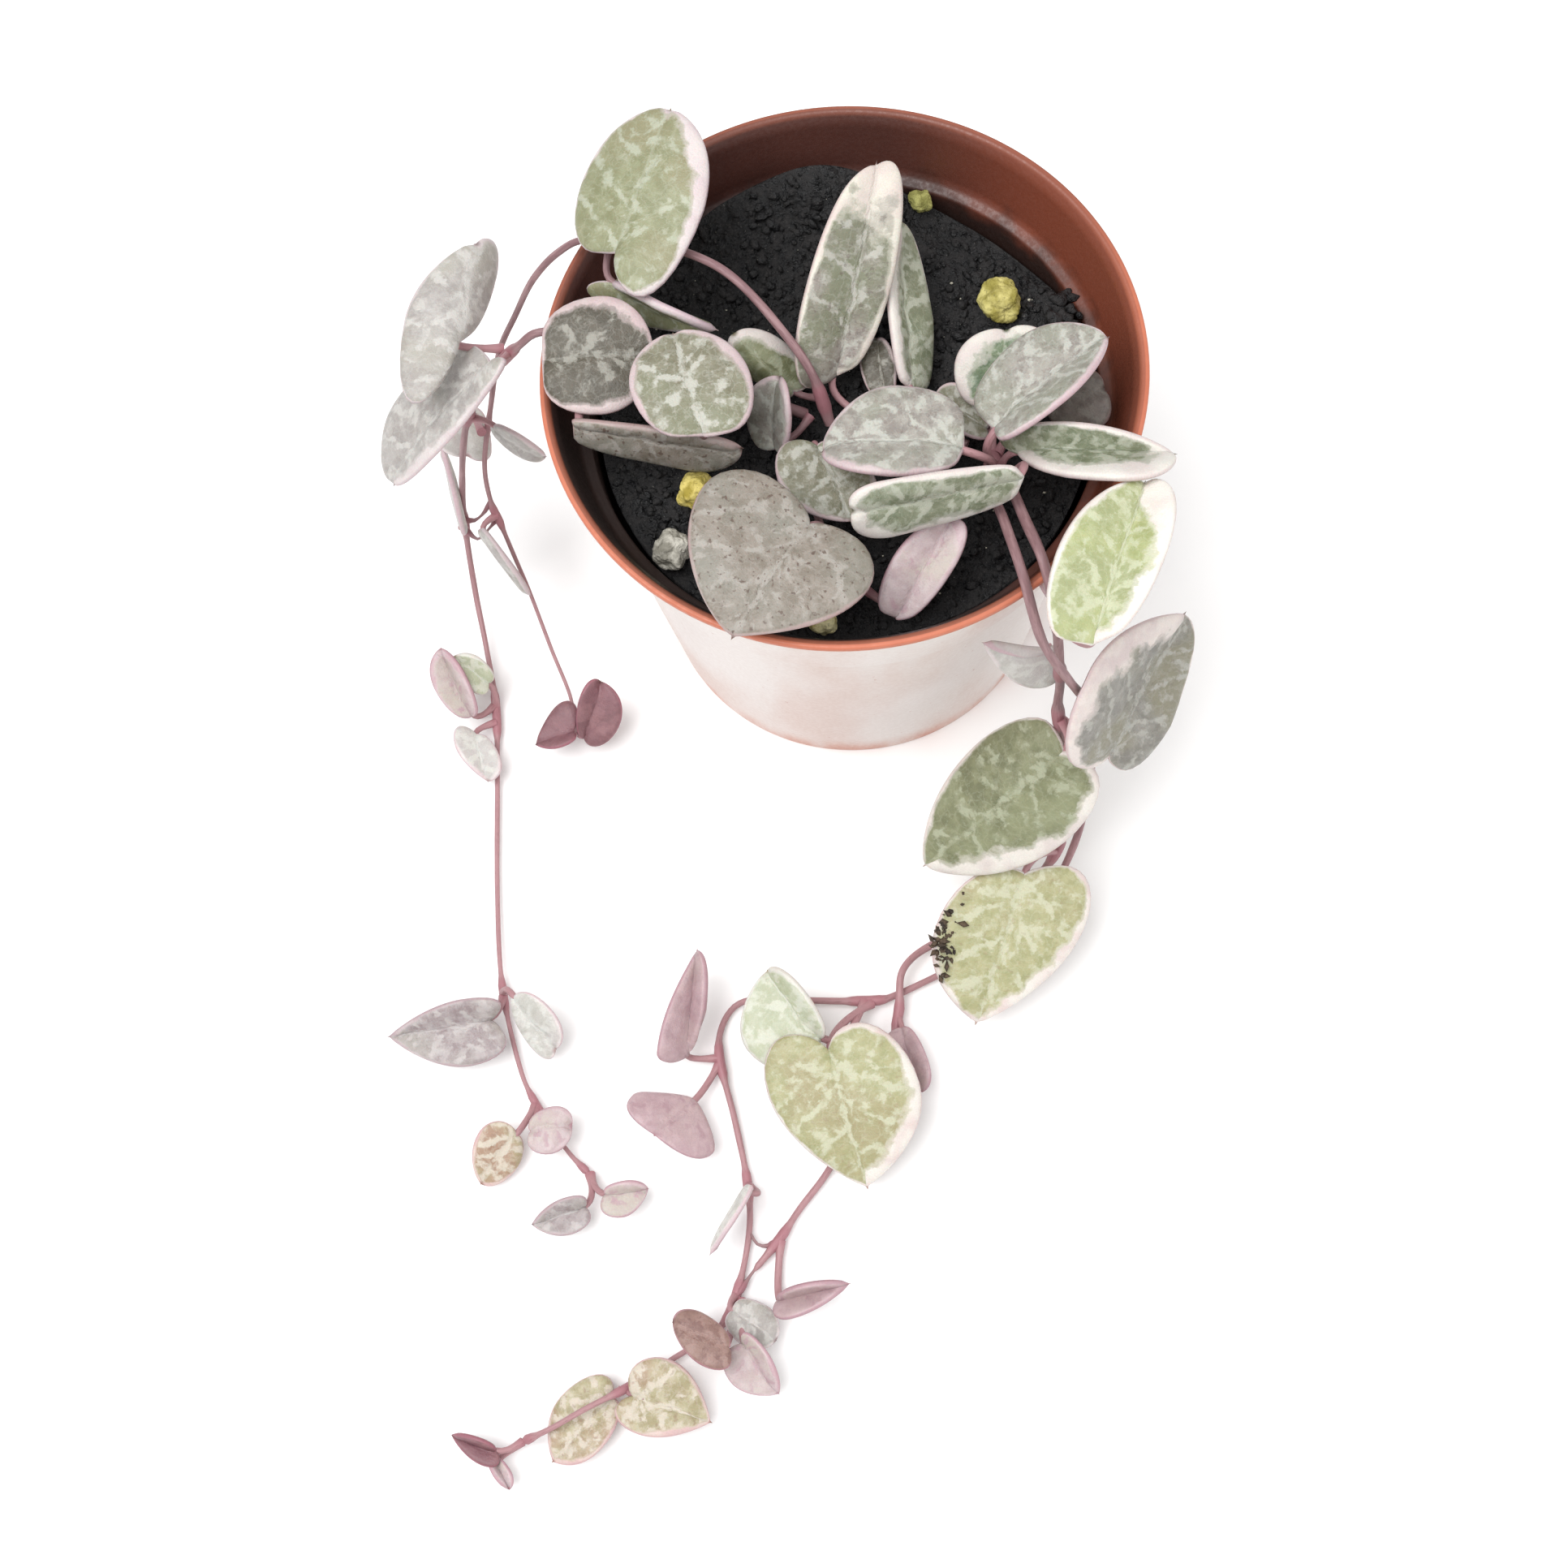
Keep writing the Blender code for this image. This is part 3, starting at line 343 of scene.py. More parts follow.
    ("leaf_left_12", (-43.5, -76, 3.0), (-50, -77, 2), (-45, -79, 3.2), (-45.5, -75, 5),
     0.3, 0.85, 0.1, 0.0, (-42.5, -72, 1.4), "dusk", 0.3),
    ("leaf_left_13", (-40.5, -75, 3.5), (-35.5, -75, 3), (-38, -74, 5), (-39, -78, 3.6),
     0.35, 0.75, (0.1, 0.15), 0.0, (-42.3, -72, 1.4), "blush", 0.4),
)

# Leaves too small for the CAD model's limit on nodes, with the same columns
SMALL_LEAVES = (
    ("leaf_pot_18", (14.5, -6.5, 49), (9.5, -2, 49), (11, -7, 51), (13, -2, 51),
     0.4, 0.6, 0.1, 0.2, (14.8, -9.6, 49.4), "sage", 0.4),
    ("leaf_pot_22", (18, -28.7, 52), (16.3, -26, 54), (16.6, -28.2, 54), (17.8, -26.4, 52.5),
     0.4, 0.6, 0.1, 0.1, (17.6, -30.4, 52.5), "pale", 0.5),
    ("leaf_right_15", (-3, -60.5, 2.5), (-2, -68.5, 2.5), (-0.5, -65.5, 4), (-6, -66, 3),
     0.4, 0.8, 0.1, 0.2, (-3.2, -58.5, 1.6), "pink", 0.3),
    ("leaf_right_16", (-23.5, -77, 6), (-29.5, -84, 4), (-25.5, -80.3, 7.2), (-26.3, -79.3, 3.2),
     0.4, 0.8, 0.02, 0.0, (-24, -76, 1.0), "pale", 0.3),
    ("leaf_right_17", (-27.5, -90.5, 3), (-23, -94.5, 2.5), (-23.5, -90.5, 2.5), (-27, -94.5, 3),
     0.4, 0.7, 0.1, 0.2, (-27.0, -88.4, 1.0), "silver", 0.4),
    ("leaf_right_18", (-57, -103, 2), (-55.5, -106.5, 2), (-55, -104.5, 3), (-57, -104.5, 3.5),
     0.4, 0.7, 0.1, 0.0, (-53.5, -101.4, 2.0), "blush", 0.3),
    ("leaf_left_14", (-48, -9, 5), (-51.5, -6, 8), (-50.5, -10, 6.5), (-48, -7, 8),
     0.4, 0.7, 0.1, 0.0, (-47.7, -11, 1.2), "mint", 0.3),
    ("leaf_left_15", (-45, 6.5, 16), (-40.5, -1, 11), (-42.5, 2.2, 16.7), (-43.9, 4.8, 11.3),
     0.4, 0.8, 0.05, 0.0, (-43.2, 8.5, 15.8), "silver", 0.3),
    ("leaf_left_16", (-38, -17.5, 5), (-43, -18, 4), (-39.5, -19.5, 6), (-38.5, -13.5, 6),
     0.3, 0.9, 0.1, 0.0, (-38, -15.5, 2.0), "red", 0.2),
    ("leaf_left_17", (-48, 8.5, 14), (-48, 15, 24), (-47.6, 8.6, 18.2), (-48.4, 12.3, 15.8),
     0.3, 0.8, 0.05, 0.0, (-47.8, 9.2, 13), "pale", 0.3),
)


# Palettes from 0 to 255: two blotch colours, a third that drifts in, marbling, margin, rim,
# underside and speckles; then how much marbling is added and how many speckles
# "shade" is a darker palette of painted shade for leaf_pot_19 in the pot's shadow, and "dark" paints shade
# on leaf_pot_11, low in the pot.
PALETTES = {
    "lime": ((164, 171, 118), (182, 188, 138), (158, 164, 122), (200, 204, 172), (236, 232, 224),
             (220, 206, 200), (188, 182, 166), (152, 138, 98), 0.03, 0.10),
    "rosy": ((158, 158, 114), (176, 173, 132), (160, 150, 113), (196, 196, 168), (228, 222, 214),
             (206, 178, 177), (184, 164, 156), (146, 112, 92), 0.02, 0.20),
    "warm": ((158, 148, 112), (184, 176, 144), (166, 130, 112), (208, 198, 182), (216, 196, 188),
             (200, 156, 160), (180, 156, 150), (134, 98, 82), 0.04, 0.35),
    "mint": ((176, 182, 150), (188, 193, 166), (180, 184, 160), (208, 210, 194), (218, 217, 208),
             (206, 200, 192), (186, 184, 170), (160, 152, 130), 0.04, 0.05),
    "green": ((132, 134, 100), (150, 152, 120), (148, 143, 112), (178, 181, 160), (216, 206, 204),
              (200, 178, 184), (146, 150, 112), (118, 104, 80), -0.03, 0.12),
    "olive": ((110, 113, 82), (132, 135, 102), (144, 148, 114), (166, 170, 144), (226, 220, 212),
              (202, 186, 184), (136, 140, 106), (102, 94, 70), -0.02, 0.20),
    "fresh": ((112, 120, 94), (144, 150, 126), (132, 136, 112), (184, 187, 170), (222, 218, 210),
              (210, 194, 192), (176, 172, 158), (104, 104, 84), 0.03, 0.10),
    "deep": ((84, 104, 76), (118, 134, 102), (128, 138, 112), (176, 184, 164), (222, 218, 208),
             (208, 190, 190), (168, 168, 150), (90, 96, 70), -0.02, 0.05),
    "sage": ((118, 115, 94), (138, 135, 115), (128, 130, 104), (188, 187, 176), (206, 190, 189),
             (192, 166, 172), (150, 138, 128), (108, 90, 76), 0.01, 0.20),
    "dark": ((76, 70, 58), (90, 83, 70), (82, 76, 62), (150, 147, 137), (204, 188, 186),
             (186, 158, 162), (128, 112, 104), (68, 56, 48), -0.03, 0.15),
    "mauve": ((141, 134, 128), (167, 162, 154), (150, 152, 136), (190, 190, 181), (204, 189, 189),
              (188, 160, 166), (166, 148, 148), (110, 92, 86), 0.02, 0.30),
    "mixed": ((132, 122, 116), (154, 146, 139), (120, 126, 98), (180, 178, 168), (218, 213, 200),
              (206, 184, 182), (116, 128, 92), (98, 84, 78), -0.02, 0.45),
    "brown": ((127, 118, 106), (148, 139, 129), (135, 132, 121), (164, 158, 150), (176, 160, 155),
              (166, 140, 138), (140, 127, 114), (96, 78, 68), 0.0, 0.85),
    "shade": ((104, 94, 88), (126, 116, 110), (116, 110, 102), (134, 128, 120), (140, 126, 122),
              (146, 124, 124), (118, 106, 100), (90, 76, 70), 0.0, 0.20),
    "slate": ((126, 123, 116), (146, 143, 136), (138, 134, 112), (170, 168, 160), (222, 212, 206),
              (196, 174, 176), (166, 156, 152), (110, 98, 92), -0.01, 0.25),
    "silver": ((158, 152, 148), (176, 171, 167), (170, 166, 156), (196, 193, 188), (210, 202, 200),
               (198, 180, 184), (178, 168, 167), (138, 122, 122), 0.0, 0.20),
    "dusk": ((150, 136, 137), (176, 166, 166), (168, 163, 156), (190, 183, 181), (194, 182, 183),
             (174, 148, 154), (166, 150, 152), (124, 104, 106), 0.0, 0.25),
    "pale": ((184, 182, 174), (200, 198, 191), (196, 190, 188), (213, 212, 206), (222, 215, 213),
             (202, 176, 182), (196, 184, 184), (170, 148, 146), 0.03, 0.10),
    "blush": ((186, 166, 167), (202, 186, 187), (192, 184, 172), (184, 156, 162), (206, 186, 189),
              (182, 142, 152), (190, 168, 171), (164, 128, 136), -0.08, 0.10),
    "pink": ((180, 152, 157), (194, 168, 172), (186, 164, 163), (172, 142, 148), (198, 172, 177),
             (174, 136, 145), (192, 164, 169), (158, 120, 128), -0.08, 0.10),
    "rust": ((130, 98, 92), (150, 120, 110), (142, 122, 98), (160, 130, 122), (178, 140, 144),
             (166, 112, 122), (146, 108, 108), (108, 74, 70), -0.02, 0.45),
    "red": ((120, 82, 87), (146, 106, 110), (132, 90, 98), (132, 92, 98), (154, 108, 118),
            (152, 94, 106), (138, 94, 100), (92, 56, 56), -0.08, 0.10),
}

USUAL_HUB = 0.05
FIELDS = "name base tip left right widest sharpness lobes rise root palette margins hub"
Leaf = namedtuple("Leaf", FIELDS, defaults=(USUAL_HUB,))
PLANT = [Leaf(*row) for row in LEAVES + SMALL_LEAVES]
SLOTS = {entry["node"]: entry["material_slot"] for entry in frame["record"]["subparts"]}


def rgb(red, green, blue):
    """A 0 to 255 screen colour as a linear RGBA colour."""
    linear = []
    for value in (red, green, blue):
        share = value / 255
        linear.append(share / 12.92 if share <= 0.04045 else ((share + 0.055) / 1.055) ** 2.4)
    return (*linear, 1.0)


class Shading:
    """One Principled material and short calls for its nodes."""

    def __init__(self, name, **sockets):
        self.material = bpy.data.materials.new(name)
        self.material.use_nodes = True
        self.tree = self.material.node_tree
        self.shader = self.tree.nodes["Principled BSDF"]
        for socket, value in sockets.items():
            self.shader.inputs[socket.replace("_", " ")].default_value = value

    def node(self, kind, inputs=(), **settings):
        node = self.tree.nodes.new(kind)
        for setting, value in settings.items():
            setattr(node, setting, value)
        for socket, value in dict(inputs).items():
            if isinstance(value, bpy.types.NodeSocket):
                self.tree.links.new(value, node.inputs[socket])
            elif value is not None:
                node.inputs[socket].default_value = value
        return node

    def attribute(self, name, output="Fac"):
        return self.node("ShaderNodeAttribute", attribute_name=name).outputs[output]

    def place(self):
        """The object's own coordinates, in millimetres."""
        coordinates = self.node("ShaderNodeTexCoord").outputs["Object"]
        return self.vector("SCALE", coordinates, scale=1 / MM)

    def vector(self, operation, first, second=None, scale=None):
        inputs = {0: first, 1: second}
        if scale is not None:
            inputs["Scale"] = scale
        return self.node("ShaderNodeVectorMath", inputs, operation=operation).outputs[0]

    def math(self, operation, first, second=None, third=None):
        return self.node("ShaderNodeMath", {0: first, 1: second, 2: third}, operation=operation).outputs[0]

    def noise(self, place, scale, detail=2.0, output="Fac"):
        inputs = {"Vector": place, "Scale": scale, "Detail": detail}
        return self.node("ShaderNodeTexNoise", inputs).outputs[output]

    def cracks(self, place, scale):
        """Distance to the nearest border of random cells."""
        inputs = {"Vector": place, "Scale": scale}
        node = self.node("ShaderNodeTexVoronoi", inputs, feature="DISTANCE_TO_EDGE")
        return node.outputs["Distance"]

    def ramp(self, value, low, high, start=0.0, end=1.0):
        """value from low to high becomes start to end, smoothly."""
        inputs = {"Value": value, "From Min": low, "From Max": high, "To Min": start, "To Max": end}
        return self.node("ShaderNodeMapRange", inputs, interpolation_type="SMOOTHSTEP").outputs[0]

    def mix(self, share, first, second, blend="MIX"):
        node = self.node("ShaderNodeMix", data_type="RGBA", blend_type=blend)
        for socket, value in (("Factor_Float", share), ("A_Color", first), ("B_Color", second)):
            target = next(item for item in node.inputs if item.identifier == socket)
            if isinstance(value, bpy.types.NodeSocket):
                self.tree.links.new(value, target)
            else:
                target.default_value = value
        return next(item for item in node.outputs if item.identifier == "Result_Color")

    def finish(self, colour, roughness=None, height=None, depth=0.1):
        """Connect colour, roughness and a height whose full range is depth millimetres."""
        self.tree.links.new(colour, self.shader.inputs["Base Color"])
        if roughness is not None:
            self.tree.links.new(roughness, self.shader.inputs["Roughness"])
        if height is not None:
            bump = self.node("ShaderNodeBump", {"Height": height, "Strength": 1.0, "Distance": depth * MM})
            self.tree.links.new(bump.outputs["Normal"], self.shader.inputs["Normal"])
        return self.material


def leaf_material(name, palette):
    """Blotches in pale marbling that follows the veins, an uneven margin, a thin rim and a plainer back."""
    dark, light, drift, vein, margin, rim, under, speckle = (rgb(*colour) for colour in palette[:8])
    marbling, speckles = palette[8:]
    shading = Shading(f"leaf_{name}", Roughness=0.45, Subsurface_Weight=0.08, Subsurface_Scale=0.0008)
    mix, ramp, noisy, calc = shading.mix, shading.ramp, shading.noise, shading.math
    place = shading.attribute("leaf_place", "Vector")
    fuzz = shading.vector("SUBTRACT", noisy(place, 2.4, 5.0, "Color"), (0.5, 0.5, 0.5))
    fuzzy = shading.vector("ADD", place, shading.vector("SCALE", fuzz, scale=0.9))
    wander = shading.vector("SUBTRACT", noisy(place, 0.28, 1.0, "Color"), (0.5, 0.5, 0.5))
    warped = shading.vector("ADD", fuzzy, shading.vector("SCALE", wander, scale=2.4))
    split = shading.node("ShaderNodeSeparateXYZ", {0: warped})
    across = calc("ABSOLUTE", split.outputs["X"])
    along = split.outputs["Y"]
    flat = shading.node("ShaderNodeCombineXYZ", {0: split.outputs["X"], 1: along}).outputs[0]
    reach = shading.node("ShaderNodeVectorMath", {0: flat}, operation="LENGTH").outputs["Value"]

    midrib = ramp(across, 0.75, 0.05)
    slant = calc("MULTIPLY_ADD", across, -0.75, along)
    side = calc("MULTIPLY_ADD", calc("SIGN", split.outputs["X"]), 0.9, slant)
    lateral = ramp(calc("PINGPONG", calc("ADD", side, 20.0), 2.3), 0.75, 0.05)
    lateral = calc("MULTIPLY", lateral, ramp(along, 0.3, 1.5))
    angle = calc("ARCTAN2", split.outputs["X"], along)
    spoke = calc("MULTIPLY", calc("PINGPONG", calc("ADD", angle, 6.4), 0.52), reach)
    star = calc("MULTIPLY", ramp(spoke, 0.6, 0.05), ramp(reach, 5.0, 2.5))
    veins = calc("MAXIMUM", calc("MAXIMUM", midrib, lateral), star)
    marble = calc("MULTIPLY_ADD", veins, 0.15, noisy(warped, 0.75, 6.0))
    marble = calc("ADD", marble, marbling)
    pale = ramp(marble, 0.50, 0.70, 0.0, 0.95)
    straight = shading.node("ShaderNodeSeparateXYZ", {0: place})
    line = ramp(calc("ABSOLUTE", straight.outputs["X"]), 0.26, 0.08, 0.0, 0.4)
    pale = calc("MAXIMUM", pale, line)
    net = calc("MULTIPLY", ramp(shading.cracks(warped, 0.75), 0.09, 0.01), 0.25)
    pale = calc("MAXIMUM", pale, net)

    blotch = mix(ramp(noisy(fuzzy, 0.7, 5.0), 0.34, 0.66), dark, light)
    blotch = mix(ramp(noisy(fuzzy, 0.13, 3.0), 0.42, 0.64, 0.0, 0.8), blotch, drift)
    colour = mix(pale, blotch, vein)
    spots = ramp(noisy(place, 1.7, 4.0), 0.585, 0.68, 0.0, speckles)
    colour = mix(spots, colour, speckle)

    ragged = calc("MULTIPLY_ADD", noisy(fuzzy, 0.42, 5.0), 2.6, -1.3)
    depth = calc("ADD", shading.attribute("leaf_margin"), ragged)
    fringe = mix(0.45, blotch, margin)
    band = mix(ramp(noisy(place, 0.30, 2.0), 0.4, 0.65, 0.0, 0.5), margin, rim)
    colour = mix(ramp(depth, 1.15, 1.5), fringe, colour)
    colour = mix(ramp(depth, 0.80, 1.15), band, colour)
    colour = mix(ramp(shading.attribute("leaf_edge"), 0.26, 0.06, 0.0, 0.7), colour, rim)
    colour = mix(ramp(shading.attribute("leaf_tip"), 0.7, 0.2), colour, speckle)

    below = mix(ramp(noisy(fuzzy, 0.5, 4.0), 0.35, 0.65), under, drift)
    below = mix(calc("MULTIPLY", pale, 0.3), below, vein)
    below = mix(ramp(shading.attribute("leaf_margin"), 0.9, 0.5), below, rim)
    colour = mix(ramp(shading.attribute("leaf_side"), 0.35, 0.65), below, colour)
    grain = noisy(place, 6.0, 3.0)
    colour = mix(1.0, colour, mix(grain, rgb(224, 224, 224), rgb(255, 255, 255)), "MULTIPLY")

    height = calc("MULTIPLY_ADD", midrib, -0.5, calc("MULTIPLY", grain, 0.35))
    height = calc("MULTIPLY_ADD", noisy(place, 0.8, 2.0), 0.7, height)
    return shading.finish(colour, ramp(grain, 0.2, 0.8, 0.40, 0.55), height, 0.14)


def stem_material():
    shading = Shading("stem_skin", Roughness=0.5)
    mix, ramp, noisy = shading.mix, shading.ramp, shading.noise
    place = shading.attribute("stem_place", "Vector")
    streak = noisy(place, 0.9, 3.0)
    colour = mix(ramp(streak, 0.35, 0.65), rgb(128, 96, 99), rgb(152, 120, 122))
    far = shading.node("ShaderNodeSeparateXYZ", {0: place}).outputs["Y"]
    colour = mix(ramp(far, 14.0, 34.0, 0.0, 0.7), colour, rgb(176, 132, 136))
    fine = noisy(place, 4.0, 3.0)
    colour = mix(ramp(fine, 0.56, 0.72, 0.0, 0.5), colour, rgb(108, 76, 78))
    colour = mix(ramp(shading.attribute("stem_node"), 0.2, 0.9, 0.0, 0.6), colour, rgb(156, 98, 108))
    return shading.finish(colour, None, fine, 0.06)


def pot_material():
    """Terracotta-coloured plastic: painted pale glare outside, orange lip with painted shade at the back,
    painted shade inside.
    """
    shading = Shading("pot_plastic", Roughness=0.45)
    mix, ramp, noisy, calc = shading.mix, shading.ramp, shading.noise, shading.math
    place = shading.place()
    tall = shading.vector("MULTIPLY", place, (1.0, 1.0, 0.4))
    zone = shading.attribute("pot_zone")
    height = shading.node("ShaderNodeSeparateXYZ", {0: place}).outputs["Z"]
    clay = mix(noisy(tall, 0.12, 4.0), rgb(190, 124, 102), rgb(206, 150, 130))
    # Painted light: the pale wash over the outer wall is a painted glare of strong light, in patches.
    cloud = ramp(noisy(tall, 0.07, 5.0), 0.30, 0.62)
    painted_glare = mix(cloud, rgb(210, 190, 182), rgb(222, 214, 210))
    # Near the base and below the collar the terracotta colour shows through the painted glare.
    edge = calc("MAXIMUM", ramp(height, 6.0, 0.5), ramp(height, 51.0, 54.5))
    edge = calc("MULTIPLY", edge, ramp(noisy(tall, 0.22, 4.0), 0.25, 0.65, 0.2, 0.9))
    outside = mix(edge, painted_glare, clay)
    specks = ramp(noisy(place, 1.3, 5.0), 0.69, 0.75, 0.0, 0.5)
    outside = mix(specks, outside, rgb(176, 112, 96))
    lip = mix(noisy(place, 0.5, 3.0), rgb(180, 100, 74), rgb(196, 116, 88))
    spot = shading.node("ShaderNodeSeparateXYZ", {0: place})
    # Painted shade: the lip darkens towards the back.
    lip = mix(ramp(spot.outputs["Y"], -2.0, 20.0, 0.0, 0.75), lip, rgb(116, 64, 50))
    # Painted light and shade inside: dark at the back and left, lighter on the right-hand wall where light
    # falls, near black in a painted shadow at the front-left.
    rear = mix(noisy(tall, 0.15, 4.0), rgb(70, 42, 37), rgb(86, 50, 42))
    inside = mix(ramp(spot.outputs["X"], 8.0, 27.0), rear, rgb(124, 64, 46))
    lit = calc("MAXIMUM", ramp(spot.outputs["Y"], -4.0, 8.0), ramp(spot.outputs["X"], 8.0, 20.0))
    inside = mix(lit, rgb(44, 32, 29), inside)
    # Painted shade: the inside wall darkens towards the soil, with a ragged upper edge.
    shade_height = calc("ADD", height, calc("MULTIPLY", noisy(place, 0.25, 4.0), 5.0))
    inside = mix(ramp(shade_height, 52.0, 48.5), inside, rgb(48, 32, 28))
    colour = mix(ramp(zone, 0.2, 0.8), outside, lip)
    colour = mix(ramp(zone, 1.2, 1.8), colour, inside)
    scuffs = noisy(place, 2.2, 4.0)
    return shading.finish(colour, ramp(scuffs, 0.3, 0.7, 0.36, 0.58), scuffs, 0.03)


def soil_material():
    shading = Shading("soil_crumb", Roughness=0.8)
    mix, ramp, noisy = shading.mix, shading.ramp, shading.noise
    place = shading.place()
    crumb = noisy(place, 0.9, 6.0)
    colour = mix(ramp(crumb, 0.38, 0.70), rgb(18, 18, 20), rgb(48, 46, 46))
    flake = ramp(noisy(place, 4.5, 3.0), 0.67, 0.73, 0.0, 0.6)
    colour = mix(flake, colour, rgb(120, 116, 110))
    return shading.finish(colour, ramp(crumb, 0.4, 0.6, 0.45, 0.9), noisy(place, 2.4, 6.0), 0.5)


def grain_material(name, dark, light):
    shading = Shading(name, Roughness=0.75)
    mix, ramp, noisy = shading.mix, shading.ramp, shading.noise
    place = shading.place()
    colour = mix(ramp(noisy(place, 0.7, 5.0), 0.35, 0.62), rgb(*dark), rgb(*light))
    pits = ramp(noisy(place, 2.8, 4.0), 0.60, 0.72, 0.0, 0.6)
    colour = mix(pits, colour, rgb(*(value * 0.55 for value in dark)))
    return shading.finish(colour, None, noisy(place, 2.0, 5.0), 0.3)


def add_piece(name, points, faces, materials, body_slot, replaced=(), attributes=(), picks=None, crease=50):
    """A smooth mesh object from points in millimetres, riding on the part's one body."""
    mesh = bpy.data.meshes.new(name)
    mesh.from_pydata((np.asarray(points) * MM).tolist(), [], faces)
    mesh.update()
    for key, values in dict(attributes).items():
        values = np.asarray(values, np.float32)
        kind = "FLOAT_VECTOR" if values.ndim == 2 else "FLOAT"
        layer = mesh.attributes.new(key, kind, "POINT")
        layer.data.foreach_set("vector" if values.ndim == 2 else "value", values.ravel())
    for material in materials:
        mesh.materials.append(material)
    if picks is not None:
        mesh.polygons.foreach_set("material_index", picks)
    mesh.shade_smooth()
    mesh.set_sharp_from_angle(angle=math.radians(crease))
    piece = bpy.data.objects.new(name, mesh)
    bpy.context.scene.collection.objects.link(piece)
    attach(piece, BODY)
    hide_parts(*replaced)
    return piece


def in_frame(name):
    """The CAD node that a piece replaces, where there is one."""
    return [name] if name in frame["nodes"] else []


def smooth_path(points, spacing):
    """Evenly spaced points on a Catmull-Rom curve through the given points."""
    knots = [np.array(point, float) for point in points]
    knots = [2 * knots[0] - knots[1]] + knots + [2 * knots[-1] - knots[-2]]
    path = []
    for index in range(1, len(knots) - 2):
        before, start, end, after = knots[index - 1:index + 3]
        steps = max(1, round(float(np.linalg.norm(end - start)) / spacing))
        for step in range(steps):
            t = step / steps
            path.append(0.5 * (2 * start + (end - before) * t
                               + (2 * before - 5 * start + 4 * end - after) * t ** 2
                               + (3 * start - before - 3 * end + after) * t ** 3))
    path.append(knots[-2])
    return np.array(path)


def tube(path, radii, sides):
    """Points and faces of a closed round tube; also a place for each point that stretches along it."""
    tangents = np.gradient(path, axis=0)
    tangents /= np.linalg.norm(tangents, axis=1)[:, None]
    side = np.cross(tangents[0], (0.31, 0.22, 0.93))
    points = []
    faces = []
    places = []
    length = 0.0
    for index, (place, tangent) in enumerate(zip(path, tangents)):
        if index:
            length += float(np.linalg.norm(place - path[index - 1]))
        side = side - tangent * side.dot(tangent)
        side /= np.linalg.norm(side)
        other = np.cross(tangent, side)
        for step in range(sides):
            angle = FULL_TURN * step / sides
            points.append(place + (side * math.cos(angle) + other * math.sin(angle)) * radii[index])
            places.append((math.cos(angle), 0.3 * length, math.sin(angle)))
    for ring in range(len(path) - 1):
        first = ring * sides
        for step in range(sides):
            after = (step + 1) % sides
            faces.append((first + step, first + after, first + sides + after, first + sides + step))
    faces.append(tuple(reversed(range(sides))))
    faces.append(tuple(range(len(points) - sides, len(points))))
    return points, faces, np.array(places)


def half_outline(widest, sharpness, lobe):
    """Half a heart from the notch round the lobe to the tip: shares along and across, and
    the share of the midrib that each point is joined to."""
    turn = np.linspace(0, math.pi, LOBE_ROWS)
    first = turn < math.pi / 2
    along = np.where(first, -lobe * np.sin(turn), widest - (widest + lobe) * np.sin(turn))
    across = np.where(first, SHOULDER * (1 - np.cos(turn)), SHOULDER - (1 - SHOULDER) * np.cos(turn))
    middle = 0.6 * widest * turn / math.pi
    body = 1 - APEX_SHARE
    step = body * np.sin(np.linspace(0, math.pi / 2, SIDE_ROWS + 1))[1:]
    step = np.concatenate([step[:-1], [body, 1 - APEX_SHARE / 2, 1.0]])
    side = np.clip(1 - (step / body) ** 2, 0, 1) ** sharpness
    apex = 0.11 * np.clip((1 - step) / 0.14, 0, 1) ** 1.3
    side = np.maximum(side, np.where(step > 0.86, apex, 0))
    along = np.concatenate([along, widest + (1 - widest) * step])
    across = np.concatenate([across, side])
    middle = np.concatenate([middle, 0.6 * widest + (1 - 0.6 * widest) * step])
    return along, across, middle


def each(value, count):
    """A single number stands for the same number count times."""
    return value if isinstance(value, tuple) else (value,) * count


def unit(vectors):
    return vectors / np.maximum(np.linalg.norm(vectors, axis=-1, keepdims=True), 1e-9)


def blade_grid(leaf):
    """The leaf's middle surface as a grid of points, with the places used by its material."""
    corners = (leaf.base, leaf.tip, leaf.left, leaf.right)
    base, tip, left, right = (np.array(point, float) for point in corners)
    length = tip - base
    reach = {-1: left - (base + length * leaf.widest), 1: right - (base + length * leaf.widest)}
    up = unit(np.cross(unit(reach[1] - reach[-1]), unit(length)))
    shares = 1 - (1 - np.arange(COLUMNS + 1) / COLUMNS) ** 1.6
    columns = []
    edges = []
    for side, sharp, lobe in zip((-1, 1), each(leaf.sharpness, 2), each(leaf.lobes, 2)):
        along, across, middle = half_outline(leaf.widest, sharp, lobe)
        lift = up * (leaf.rise * 4 * middle * (1 - middle))[:, None]
        rib = base + length * middle[:, None] + lift
        edge = base + length * along[:, None] + reach[side] * across[:, None] + lift
        width = np.linalg.norm(edge - rib, axis=1)[:, None]
        order = range(COLUMNS, 0, -1) if side < 0 else range(0, COLUMNS + 1)
        for column in order:
            t = shares[column]
            bulge = up * width * LEAF_DOME * 4 * t * (1 - t)
            columns.append(rib + (edge - rib) * t + bulge)
            edges.append(width[:, 0] * (1 - t))
    grid = np.stack(columns, axis=1)
    inner = slice(COLUMNS - 6, COLUMNS + 7)
    for _ in range(4):
        around = 0.5 * grid[:, 1:-1] + 0.25 * (grid[:, :-2] + grid[:, 2:])
        grid[:, inner] = around[:, COLUMNS - 7:COLUMNS + 6]
    return grid, np.stack(edges, axis=1), up


def ripple(grid, seed):
    """Small uneven lifts of a surface."""
    shift = Vector((seed, 0, 0))
    lifts = [noise.noise(Vector(point / RIPPLE_PERIOD) + shift) for point in grid.reshape(-1, 3)]
    return LEAF_RIPPLE * np.array(lifts).reshape(grid.shape[:2])


